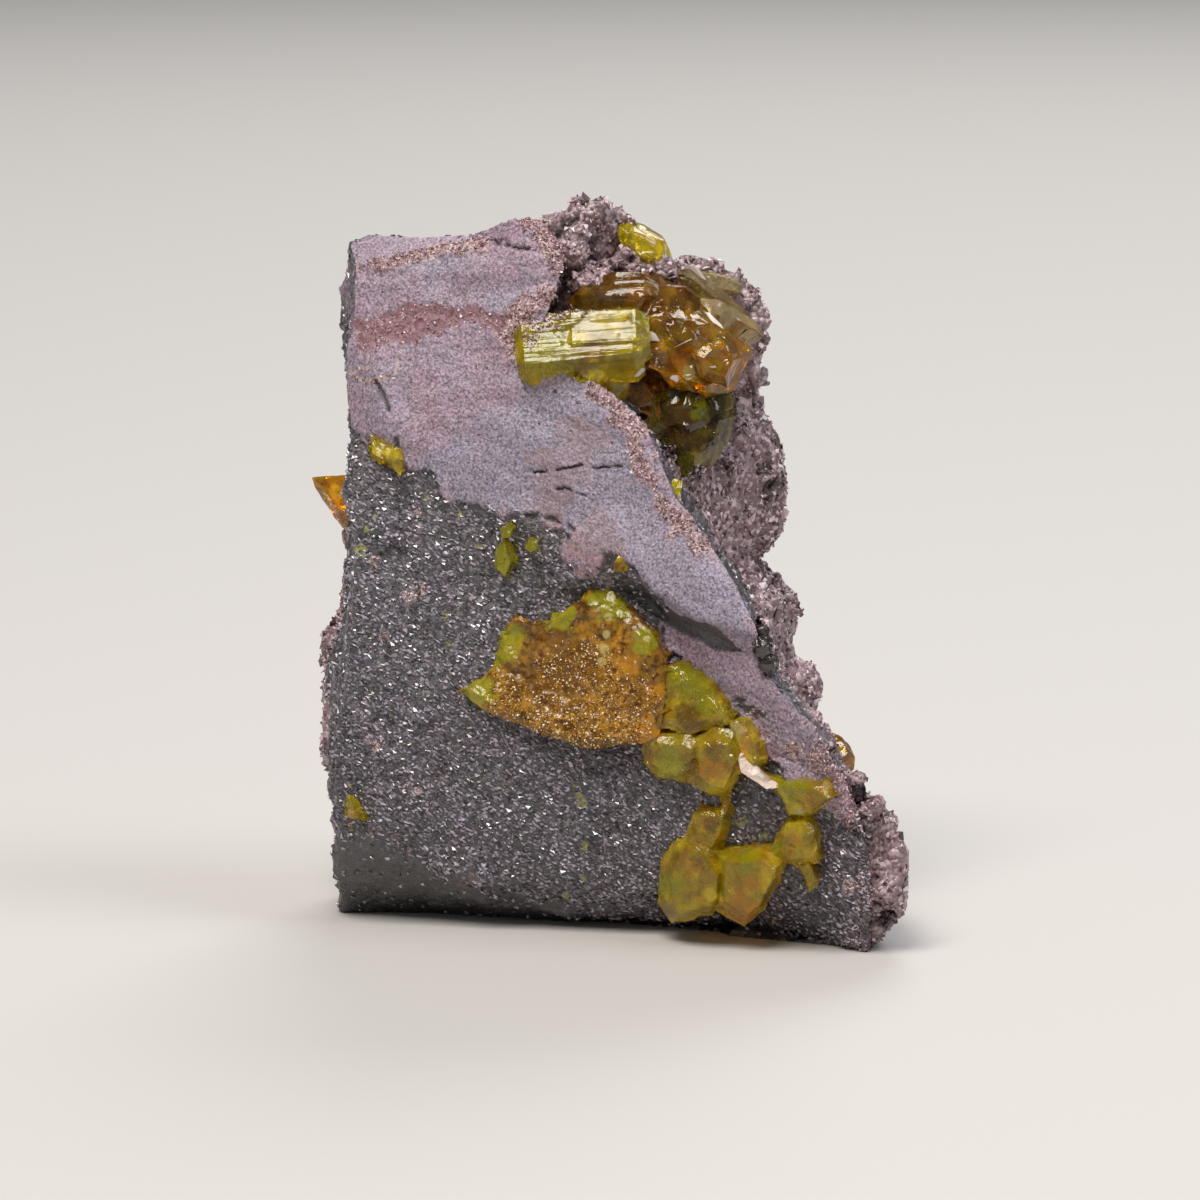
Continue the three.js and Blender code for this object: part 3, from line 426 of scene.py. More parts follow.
def oreEdge(facing):
    if facing < -0.15:
        return oreLook["frontEdge"]
    return oreLook["hiddenEdge"] if facing > 0.35 else oreLook["sideEdge"]


def lineMask(spots, lines, jitter, soft):
    mask = np.zeros(len(spots))
    for line, halfWidth in lines.values():
        away = distanceToLine(spots, line) + jitter * min(1, halfWidth / 9)
        mask = np.maximum(mask, 1 - smooth(away, halfWidth * 0.5, halfWidth * soft))
    return mask


def oreMasks(points, normals):
    # what kind of surface each point of the ore has, and where shade is painted on it, from 0 to 1
    spots = onPicture(points)
    front = smooth(-normals[:, 1], 0.05, 0.3)
    wobble = softNoise(points, 0.7, 4, 1.0)
    jitter = wobble * 11           # pixels, so that no border runs straight
    # the coarse face and every face not turned to the front; the material paints them near black as shade
    coarseShaded = np.maximum(smooth(insideOutline(spots, coarseOutline) + jitter, -2, 2), 1 - front)
    patch = smooth(insideOutline(spots, smoothPatch) + jitter * 0.2, -2, 2) * front
    coarseShaded *= 1 - patch
    flakeEdge = 1 - smooth(distanceToLine(spots, paleFlakeEdge) + jitter * 0.25, 0.8, 3.2)
    crack = lineMask(spots, cracks, jitter * 0.5, 1.5) * smooth(softNoise(points, 0.5, 2, 22.0), -0.35, 0.1)
    shadedHollow = smooth(insideOutline(spots, darkHollow) + jitter * 0.5, -4, 5)
    # painted shade under the ledge and in the hollow, joined below by the shade in the cracks
    dark = np.maximum(smooth(insideOutline(spots, darkBand) + jitter * 0.2, -2, 2), shadedHollow * 0.7)
    masks = {
        "coarseShaded": coarseShaded,
        "blue": smooth(insideOutline(spots, bluishOutline) + jitter * 1.5, -14, 14),
        "bare": smooth(insideOutline(spots, bareOutline) + jitter * 1.5, -12, 12),
        "red": smooth(insideOutline(spots, redBand) + jitter * 0.8, -3, 4),
        "rust": nearSpots(spots, rustSpots, wobble * 0.9),
        "pale": np.maximum(nearSpots(spots, paleSpots, wobble * 0.9), flakeEdge * 0.8),
        "lime": nearSpots(spots, limeSpots, wobble * 0.8),
        "vein": lineMask(spots, pinkVeins, jitter, 1.25),
        "dark": np.maximum(dark, crack),
    }
    for name in masks:
        if name != "coarseShaded":
            masks[name] = masks[name] * front
    masks["front"] = front
    return masks


def makeOre():
    mesh = crispSkin(copyOf("hematite_matrix"), oreEdge, soften=5)
    points = coordinates(mesh)
    masks = oreMasks(points, normalsOf(mesh))
    front, coarseShaded, vein = masks["front"], masks["coarseShaded"], masks["vein"]
    rough = np.maximum(1 - front, coarseShaded * 0.5)
    move = np.full(len(points), oreLook["swell"])
    width, height = oreLook["undulation"]
    move += softNoise(points, width, 3, 2.0) * height * (1 + rough)
    width, height = oreLook["chips"]
    move += brokenFacets(points, width, 3.0) * height * (0.3 + 0.5 * rough + 1.1 * (1 - front))
    width, height = oreLook["smallChips"]
    move += brokenFacets(points, width, 4.0) * height * (0.3 + 0.7 * rough + 1.2 * (1 - front))
    width, height = oreLook["layers"]
    layers = softNoise(points * (0.7, 1, 1.6), width, 4, 21.0) * 4
    layers = np.floor(layers) + smooth(layers - np.floor(layers), 0.78, 1.0)
    move += layers * height * (1 - coarseShaded) * front
    move += oreLook["layer"] * (1 - coarseShaded) * front
    width, height = oreLook["coarseGrain"]
    move += softNoise(points, width, 2, 5.0) * height * coarseShaded
    width, height = oreLook["veinGrain"]
    move += cellLumps(points, width, 6.0) * height * vein
    width, height = oreLook["redGrain"]
    move += masks["red"] * (softNoise(points, width, 2, 7.0) * height - height)
    move -= masks["dark"] * oreLook["crackDepth"]
    push(mesh, move)
    for name, values in masks.items():
        if name != "front":
            addMask(mesh, name, values)
    mesh.shade_smooth()
    mesh.set_sharp_from_angle(angle=math.radians(50))
    print("ore", len(mesh.vertices), "points", len(mesh.polygons), "faces")
    return mesh, masks


def oreMaterial():
    # Hematite ore as broken: high IOR gives the submetallic sheen, fine grains glint, no polish
    material, tree = newMaterial("hematiteOreBroken")
    place = addNode(tree, "TexCoord").outputs["Object"]
    coarseShaded = addNode(tree, "Attribute", attribute_name="coarseShaded").outputs["Fac"]
    blue = addNode(tree, "Attribute", attribute_name="blue").outputs["Fac"]
    # patches about 2 mm wide, brownish pink against bluish grey
    patches = addNode(tree, "TexNoise", {"Vector": place, "Scale": perMetre(2.2), "Detail": 6.0,
                                         "Roughness": 0.7})
    patchSum = addNode(tree, "Math", {0: blue, 1: 0.22, 2: patches}, operation="MULTIPLY_ADD")
    patchShare = addNode(tree, "MapRange", {"Value": patchSum, "From Min": 0.42, "From Max": 0.68})
    colour = addNode(tree, "MixRGB", {"Fac": patchShare, "Color1": linear("#957688"),
                                      "Color2": linear("#877d92")})
    # painted shade: the coarse face and the sides go near black, between the grains and where the faces
    # turn down or away
    colour = addNode(tree, "MixRGB", {"Fac": coarseShaded, "Color1": colour, "Color2": linear("#241f24")})
    # single grains of 0.11 mm, light and dark
    specks = addNode(tree, "TexNoise", {"Vector": place, "Scale": perMetre(0.11), "Detail": 3.0,
                                        "Roughness": 0.7})
    speckTone = addNode(tree, "MapRange", {"Value": specks, "From Min": 0.36, "From Max": 0.66,
                                           "To Min": 0.2, "To Max": 1.9})
    colour = addNode(tree, "MixRGB", {"Fac": 1.0, "Color1": colour, "Color2": speckTone},
                     blend_type="MULTIPLY")
    # painted glints: a few grains made lighter
    cells = addNode(tree, "TexVoronoi", {"Vector": place, "Scale": perMetre(0.13)})
    single = addNode(tree, "SeparateColor", {"Color": cells.outputs["Color"]})
    paintedGlint = addNode(tree, "MapRange", {"Value": single.outputs["Red"], "From Min": 0.8, "From Max": 0.96,
                                       "To Max": 0.5})
    colour = addNode(tree, "MixRGB", {"Fac": paintedGlint, "Color1": colour, "Color2": linear("#b09ca8")})
    pinkGrains = addNode(tree, "MixRGB", {"Fac": single.outputs["Green"], "Color1": linear("#dcc0c2"),
                                          "Color2": linear("#6d4a4e")})
    # name, tone, size in mm of the grains that break up its border, and how much it covers
    # the two near-black tones below are painted shade: along the bottom band, and in the cracks, under the
    # ledge and in a hollow
    overlays = [("rust", linear("#96685c"), 0.2, 0.3), ("red", linear("#7c4046"), 0.2, 0.8),
                ("bare", linear("#1c181c"), 0.5, 0.85), ("vein", pinkGrains, 0.2, 0.9),
                ("pale", linear("#c3aeaa"), 0.14, 0.9), ("lime", linear("#8c8c1c"), 0.13, 1.0),
                ("dark", linear("#1a161a"), 0.2, 0.9)]
    for name, tone, grain, strength in overlays:
        share = raggedShare(tree, place, name, grain, 1.1, strength)
        colour = addNode(tree, "MixRGB", {"Fac": share, "Color1": colour, "Color2": tone})
    fine = addNode(tree, "TexNoise", {"Vector": place, "Scale": perMetre(0.09), "Detail": 3.0,
                                      "Roughness": 0.8})
    grainBump = addNode(tree, "Bump", {"Height": cells, "Strength": 0.8,
                                       "Distance": 0.035 * millimetre}, invert=True)
    fineBump = addNode(tree, "Bump", {"Height": fine, "Strength": 0.9, "Distance": 0.05 * millimetre,
                                      "Normal": grainBump})
    sheen = addNode(tree, "MapRange", {"Value": single.outputs["Blue"], "To Min": 0.62, "To Max": 0.3})
    body = addNode(tree, "BsdfPrincipled", {"Base Color": colour, "Roughness": sheen,
                                            "Metallic": 0.0, "IOR": 2.1, "Normal": fineBump})
    addNode(tree, "OutputMaterial", {"Surface": body})
    return material


# Grains: small many-cornered bodies half sunk in what they grow on

def hullShapes(corners, count=14):
    # convex solids of radius one with that many corners on a ball
    shapes = []
    for _ in range(count):
        work = bmesh.new()
        for spot in unit(draw.normal(size=(corners, 3))):
            work.verts.new(spot)
        bmesh.ops.convex_hull(work, input=work.verts)
        bmesh.ops.recalc_face_normals(work, faces=work.faces)
        work.verts.index_update()
        shapes.append((np.array([v.co for v in work.verts]),
                       np.array([[v.index for v in f.verts] for f in work.faces])))
        work.free()
    return shapes


def surfacePlaces(mesh, count, chance):
    # random places on the mesh, likelier where chance (a value for each point) is high
    mesh.calc_loop_triangles()
    corners = np.empty(len(mesh.loop_triangles) * 3, np.int32)
    mesh.loop_triangles.foreach_get("vertices", corners)
    corners = corners.reshape(-1, 3)
    points = coordinates(mesh)
    a, b, c = (points[corners[:, i]] for i in range(3))
    cross = np.cross(b - a, c - a)
    weight = np.linalg.norm(cross, axis=1) * chance[corners].mean(axis=1)
    picked = draw.choice(len(corners), count, p=weight / weight.sum())
    u, v = draw.random((2, count))
    over = u + v > 1
    u[over], v[over] = 1 - u[over], 1 - v[over]
    spots = a[picked] + (b - a)[picked] * u[:, None] + (c - a)[picked] * v[:, None]
    return spots, unit(cross[picked])


def randomTurns(count):
    turns, _ = np.linalg.qr(draw.normal(size=(count, 3, 3)))
    turns[:, 2] *= np.linalg.det(turns)[:, None]
    return turns


def turnsAlong(facing, direction, spread):
    # first axis along the direction, third one out of the surface, both a little off
    out = unit(facing + draw.normal(0, spread, facing.shape))
    first = np.array(direction) + draw.normal(0, spread, facing.shape)
    first = unit(first - (first * out).sum(axis=1, keepdims=True) * out)
    return np.stack((first, np.cross(out, first), out), axis=1)


def bodiesMesh(name, shapes, spots, turns, radii):
    # one mesh of many bodies; radii holds three half sizes in mm for each
    which = draw.integers(len(shapes), size=len(spots))
    tints = draw.random(len(spots))
    corners, faces, tintValues, start = [], [], [], 0
    for number, (shapeCorners, shapeFaces) in enumerate(shapes):
        mine = which == number
        bodies = (shapeCorners[None] * radii[mine][:, None]) @ turns[mine] + spots[mine][:, None]
        inBox = ((bodies > boxLow) & (bodies < boxHigh)).all(axis=(1, 2))
        bodies = bodies[inBox]
        steps = start + np.arange(len(bodies)) * len(shapeCorners)
        corners.append(bodies.reshape(-1, 3))
        faces.append((shapeFaces[None] + steps[:, None, None]).reshape(-1, 3))
        tintValues.append(np.repeat(tints[mine][inBox], len(shapeCorners)))
        start += len(bodies) * len(shapeCorners)
    mesh = bpy.data.meshes.new(name)
    mesh.from_pydata(np.concatenate(corners).tolist(), [], np.concatenate(faces).tolist())
    mesh.update()
    addMask(mesh, "tint", np.concatenate(tintValues))
    print(name, len(mesh.polygons), "faces")
    return mesh


# tones from dark to light, roughness, IOR
grainLooks = {
    "sturmaniteSugar": (["#74480f", "#b07a22", "#dcac4c", "#f8e8cc"], 0.24, 1.5),
    "crustGrainsGrown": (["#402c2e", "#6c5055", "#8e737b", "#ab909a", "#ccb2bc", "#f0e2e8"], 0.3, 1.8),
    "calciteFlakesCleaved": (["#b5a89c", "#cfc4ba", "#ded6d0"], 0.25, 1.6),
    "andraditeGrainsGrown": (["#1c0d08", "#2a120a", "#4a2410"], 0.2, 1.89),
    "hematiteGrainsBroken": (["#332d34", "#534b56", "#776c7b", "#a99dae"], 0.26, 2.4),
    "seamGrainsGrown": (["#6d4a4c", "#a07a7c", "#c6a5a7", "#e8d5d5"], 0.3, 1.6),
}


def grainMaterial(name):
    # Single grains as grown or broken: each has its own tone, its faces are flat and glossy
    colours, roughness, ior = grainLooks[name]
    material, tree = newMaterial(name)
    tint = addNode(tree, "Attribute", attribute_name="tint").outputs["Fac"]
    colour = linear(colours[0])
    for step, tone in enumerate(colours[1:], 1):
        edge = step / len(colours)
        share = addNode(tree, "MapRange", {"Value": tint, "From Min": edge - 0.06, "From Max": edge + 0.06})
        colour = addNode(tree, "MixRGB", {"Fac": share, "Color1": colour, "Color2": linear(tone)})
    place = addNode(tree, "TexCoord").outputs["Object"]
    fine = addNode(tree, "TexNoise", {"Vector": place, "Scale": perMetre(0.06), "Detail": 2.0})
    bump = addNode(tree, "Bump", {"Height": fine, "Strength": 0.4, "Distance": 0.015 * millimetre})
    gloss = addNode(tree, "MapRange", {"Value": fine, "From Min": 0.3, "From Max": 0.7,
                                       "To Min": roughness - 0.12, "To Max": roughness + 0.2})
    body = addNode(tree, "BsdfPrincipled", {"Base Color": colour, "Roughness": gloss,
                                            "IOR": ior, "Normal": bump})
    addNode(tree, "OutputMaterial", {"Surface": body})
    return material


def rowPlaces(tree):
    # places on the front in leaning rows, each a little off its row
    pitch = np.array(oreLook["grainPitch"])
    count = (boxHigh[2] / pitch * 1.3).astype(int)
    column, row = np.meshgrid(np.arange(-count[0], count[0]), np.arange(-count[1], count[1]))
    column, row = column.ravel(), row.ravel()
    flat = np.stack((column + 0.5 * (row % 2), row), axis=1)
    flat = (flat + draw.normal(0, 0.2, flat.shape)) * pitch
    cosine, sine = math.cos(oreLook["grainLean"]), math.sin(oreLook["grainLean"])
    x = flat[:, 0] * cosine + flat[:, 1] * sine
    z = flat[:, 1] * cosine - flat[:, 0] * sine + boxHigh[2] / 2
    inside = (np.abs(x) < boxHigh[0]) & (z > 0) & (z < boxHigh[2])
    hits = [tree.ray_cast(Vector((a, boxLow[1] - 1, b)), Vector((0, 1, 0)))
            for a, b in zip(x[inside], z[inside])]
    hits = [hit for hit in hits if hit[0] is not None]
    return np.array([hit[0] for hit in hits]), np.array([hit[1] for hit in hits])


def makeOreGrains(ore, tree, masks):
    # long flat grains, all drawn out down to the right as the break left them
    spots, facing = rowPlaces(tree)
    here = oreMasks(spots, facing)
    chance = here["coarseShaded"] * here["front"] * (1 - 0.9 * here["bare"]) * (1 - 0.5 * here["dark"])
    kept = draw.random(len(spots)) < chance
    sideSpots, sideFacing = surfacePlaces(ore, oreLook["sideGrains"], 1 - masks["front"])
    spots = np.concatenate((spots[kept], sideSpots))
    facing = np.concatenate((facing[kept], sideFacing))
    size = draw.uniform(0.85, 1.25, (len(spots), 1))
    radii = size * np.array(oreLook["grainSize"]) * draw.uniform(0.85, 1.15, (len(spots), 3))
    direction = (math.cos(oreLook["grainLean"]), 0, -math.sin(oreLook["grainLean"]))
    return bodiesMesh("oreGrains", hullShapes(7), spots, turnsAlong(facing, direction, 0.2), radii)


# The crust: a granular skin of small garnets and iron oxide that lines the cavity and covers the back

crustLook = {
    "voxel": 0.17,            # mm
    # width and height of each kind of relief, in mm
    "undulation": (3.2, 0.3),
    "blocks": (3.2, 0.6),     # on the back
    "lumps": (1.1, 0.2),
    "smallLumps": (0.5, 0.14),
    "hollows": (1.3, 0.35),
    "joinReach": 0.5,         # mm: what is this close to the ore is drawn onto it
    "joinFull": 0.36,         # mm: up to here all the way
    "joinDepth": 0.05,        # mm that it then lies inside
    "grains": 15500,
    "grainSize": (0.05, 0.145),       # mm, smallest and largest half width
    "seamGrains": 9500,
    "seamGrainSize": (0.03, 0.085),
    "seamReach": 0.8,         # mm: the ore this close to the crust carries seam grains
}


def drawOnto(mesh, tree, reach, full, depth):
    # closes the gap to a surface: points within reach move to it, those within full go into it
    points = coordinates(mesh)
    for i, p in enumerate(points):
        place, normal, _, distance = tree.find_nearest(Vector(p), reach)
        if place is None or (Vector(p) - place).dot(normal) < 0:
            continue
        share = 1 - float(smooth(np.array(distance), full, reach))
        points[i] = p + (np.array(place - normal * depth) - p) * share
    setCoordinates(mesh, points)


def makeCrust(oreTree):
    mesh = evenSkin(copyOf("cavity_crust"), crustLook["voxel"])
    points = coordinates(mesh)
    width, height = crustLook["undulation"]
    move = softNoise(points, width, 3, 11.0) * height
    width, height = crustLook["blocks"]
    move += brokenFacets(points, width, 10.0) * height * smooth(normalsOf(mesh)[:, 1], 0, 0.5)
    width, height = crustLook["lumps"]
    move += brokenFacets(points, width, 12.0) * height
    width, height = crustLook["smallLumps"]
    move += (cellLumps(points, width, 13.0) - 0.35) * height
    width, height = crustLook["hollows"]
    # hollows, sunk into the crust and painted dark as shade
    shadedHollow = smooth(-softNoise(points, width, 2, 14.0), 0.25, 0.6)
    move -= shadedHollow * height
    push(mesh, move)
    drawOnto(mesh, oreTree, crustLook["joinReach"], crustLook["joinFull"], crustLook["joinDepth"])
    addMask(mesh, "shadedHollow", shadedHollow)
    mesh.shade_smooth()
    print("crust", len(mesh.polygons), "faces")
    return mesh


def crustMaterial():
    # Garnet and hematite crust as grown: brown pink bodies with glossy faces, and lighter grains that are
    # partly pale grains and partly painted glint
    material, tree = newMaterial("garnetCrustGrown")
    place = addNode(tree, "TexCoord").outputs["Object"]
    patches = addNode(tree, "TexNoise", {"Vector": place, "Scale": perMetre(4.5), "Detail": 6.0,
                                         "Roughness": 0.65})
    patchShare = addNode(tree, "MapRange", {"Value": patches, "From Min": 0.4, "From Max": 0.6})
    colour = addNode(tree, "MixRGB", {"Fac": patchShare, "Color1": linear("#694e4d"),
                                      "Color2": linear("#967b80")})
    grains = addNode(tree, "TexVoronoi", {"Vector": place, "Scale": perMetre(0.2)})
    single = addNode(tree, "SeparateColor", {"Color": grains.outputs["Color"]})
    # lighter grains: partly pale grains, partly painted glint
    paleAndHighlight = addNode(tree, "MapRange", {"Value": single.outputs["Red"], "From Min": 0.55, "From Max": 0.95})
    colour = addNode(tree, "MixRGB", {"Fac": paleAndHighlight, "Color1": colour, "Color2": linear("#d6bcc1")})
    # painted shade in the hollows of the crust
    shadedHollow = addNode(tree, "Attribute", attribute_name="shadedHollow").outputs["Fac"]
    colour = addNode(tree, "MixRGB", {"Fac": shadedHollow, "Color1": colour, "Color2": linear("#2a1c1a")})
    grainBump = addNode(tree, "Bump", {"Height": grains, "Strength": 1.0,
                                       "Distance": 0.1 * millimetre}, invert=True)
    fine = addNode(tree, "TexNoise", {"Vector": place, "Scale": perMetre(0.08), "Detail": 3.0})
    fineBump = addNode(tree, "Bump", {"Height": fine, "Strength": 0.8, "Distance": 0.04 * millimetre,
                                      "Normal": grainBump})
    gloss = addNode(tree, "MapRange", {"Value": single.outputs["Green"], "From Min": 0.5, "From Max": 0.9,
                                       "To Min": 0.55, "To Max": 0.16})
    body = addNode(tree, "BsdfPrincipled", {"Base Color": colour, "Roughness": gloss,
                                            "IOR": 1.88, "Normal": fineBump})
    addNode(tree, "OutputMaterial", {"Surface": body})
    return material


def makeCrustGrains(crust):
    # thicker where they show from the front and from above
    normals = normalsOf(crust)
    chance = 0.35 + smooth(-normals[:, 1], -0.2, 0.4) + 0.5 * smooth(normals[:, 2], 0, 0.5)
    spots, facing = surfacePlaces(crust, crustLook["grains"], chance)
    size = draw.uniform(*crustLook["grainSize"], len(spots)) * (1 + (draw.random(len(spots)) > 0.95) * 0.9)
    radii = size[:, None] * draw.uniform(0.7, 1.3, (len(spots), 3))
    return bodiesMesh("crustGrains", hullShapes(7), spots + facing * size[:, None] * 0.2,
                      randomTurns(len(spots)), radii)


def makeSeamGrains(ore, masks, crustTree):
    # pale grains in the veins and where the ore meets the crust
    near = closeness(coordinates(ore), crustTree, crustLook["seamReach"])
    chance = (masks["vein"] ** 2 + 0.7 * masks["pale"] ** 2 + 1.3 * near * masks["front"]
              + 0.15 * masks["red"])
    spots, facing = surfacePlaces(ore, crustLook["seamGrains"], chance)
    size = draw.uniform(*crustLook["seamGrainSize"], len(spots))
    radii = size[:, None] * draw.uniform(0.7, 1.3, (len(spots), 3))
    return bodiesMesh("seamGrains", hullShapes(6), spots + facing * size[:, None] * 0.2,
                      randomTurns(len(spots)), radii)


# The crystals: sturmanite, clear to cloudy, lime yellow where thin and amber where thick

crystalKinds = {
    # through: what one mm lets through; body and patch: tones of the surface; clear: share that is
    # see-through; cloud: size in mm of the patches; lines: strength of the growth lines; blocks: how dark
    # and how bright single blocks are
    "lime": {"through": "#fdf56c", "body": "#fbe92c", "patch": "#d8bc1c",
             "clear": 0.74, "rough": 0.035, "cloud": 0.7, "lines": 0.4, "blocks": (0.7, 1.25)},
    "brown": {"through": "#f2c858", "body": "#dca428", "patch": "#8c5612",
              "clear": 0.78, "rough": 0.04, "cloud": 0.8, "lines": 0.4, "blocks": (0.5, 1.3)},
    "amber": {"through": "#fdec80", "body": "#f8c824", "patch": "#d08a12",
              "clear": 0.78, "rough": 0.03, "cloud": 0.8, "lines": 0.25, "blocks": (0.5, 1.3)},
    "olive": {"through": "#ece05a", "body": "#c0a822", "patch": "#6c4c0c",
              "clear": 0.82, "rough": 0.04, "cloud": 0.7, "lines": 0.25, "blocks": (0.4, 1.3)},
    "pale": {"through": "#fdf8da", "body": "#f4e8b8", "patch": "#dcc48c",
             "clear": 0.8, "rough": 0.08, "cloud": 0.5, "lines": 0.4, "blocks": (0.8, 1.2)},
    "plate": {"through": "#f4cc4e", "body": "#e2a634", "patch": "#7c480c",
              "clear": 0.5, "rough": 0.16, "cloud": 0.3, "lines": 0.4, "blocks": (0.6, 1.15)},
    "face": {"through": "#fbf06a", "body": "#f6dc2c", "patch": "#cc9c1a",
             "clear": 0.7, "rough": 0.03, "cloud": 1.0, "lines": 1.0, "blocks": (0.7, 1.3)},
}
# tones painted on places of the crystals; the pale yellow one is a painted highlight where light shines off
# them
crystalSpotTones = {"shade": "#8a5a14", "green": "#c4c81c", "orange": "#ffb022", "paleAndHighlight": "#fff4a0"}


def absorptionOf(throughOneMm):
    # colour and density whose absorption leaves that colour after one millimetre
    loss = [-math.log(max(v, 0.004)) / millimetre for v in linear(throughOneMm)[:3]]
    density = max(loss) * 1.001
    return [1 - v / density for v in loss] + [1.0], density


def crystalMaterial(kind):
    # Sturmanite, IOR 1.50: grown faces are glassy with fine growth lines, broken ones sugary
    look = crystalKinds[kind]
    material, tree = newMaterial("sturmanite" + kind.capitalize())
    place = addNode(tree, "TexCoord").outputs["Object"]
    clouds = addNode(tree, "TexNoise", {"Vector": place, "Scale": perMetre(look["cloud"]), "Detail": 6.0,
                                        "Roughness": 0.65})
    cloudShare = addNode(tree, "MapRange", {"Value": clouds, "From Min": 0.42, "From Max": 0.62})
    colour = addNode(tree, "MixRGB", {"Fac": cloudShare, "Color1": linear(look["body"]),
                                      "Color2": linear(look["patch"])})
    # intergrown blocks of 0.6 mm, each with its own depth of colour
    blocks = addNode(tree, "TexVoronoi", {"Vector": place, "Scale": perMetre(0.6)}, feature="SMOOTH_F1")
    block = addNode(tree, "SeparateColor", {"Color": blocks.outputs["Color"]})
    blockTone = addNode(tree, "MapRange", {"Value": block.outputs["Red"], "From Min": 0.2, "From Max": 0.8,
                                           "To Min": look["blocks"][0], "To Max": look["blocks"][1]})
    colour = addNode(tree, "MixRGB", {"Fac": 1.0, "Color1": colour, "Color2": blockTone},
                     blend_type="MULTIPLY")
    for name, tone in crystalSpotTones.items():
        share = raggedShare(tree, place, name, 0.3, 0.8, 0.65)
        colour = addNode(tree, "MixRGB", {"Fac": share, "Color1": colour, "Color2": linear(tone)})
    # growth lines of about 0.1 mm along the crystal, from the coordinates in mm that the mesh carries
    growth = addNode(tree, "Attribute", attribute_name="growth").outputs["Vector"]
    lines = addNode(tree, "TexNoise", {"Vector": growth, "Scale": 1 / 0.11, "Detail": 2.0,
                                       "Roughness": 0.5})
    lineBump = addNode(tree, "Bump", {"Height": lines, "Strength": look["lines"],
                                      "Distance": 0.04 * millimetre})
    grains = addNode(tree, "TexNoise", {"Vector": place, "Scale": perMetre(0.14), "Detail": 3.0,
                                        "Roughness": 0.7})
    grainBump = addNode(tree, "Bump", {"Height": grains, "Strength": 0.05 + 1.8 * look["rough"],
                                       "Distance": 0.03 * millimetre, "Normal": lineBump})
    gloss = addNode(tree, "MapRange", {"Value": grains, "From Min": 0.35, "From Max": 0.65,
                                       "To Min": 0.5 * look["rough"], "To Max": 1.8 * look["rough"]})
    body = addNode(tree, "BsdfPrincipled", {"Base Color": colour, "Roughness": gloss,
                                            "IOR": 1.5, "Transmission Weight": look["clear"],
                                            "Normal": grainBump})
    tone, density = absorptionOf(look["through"])
    depth = addNode(tree, "VolumeAbsorption", {"Color": tone, "Density": density})
    addNode(tree, "OutputMaterial", {"Surface": body, "Volume": depth})
    return material
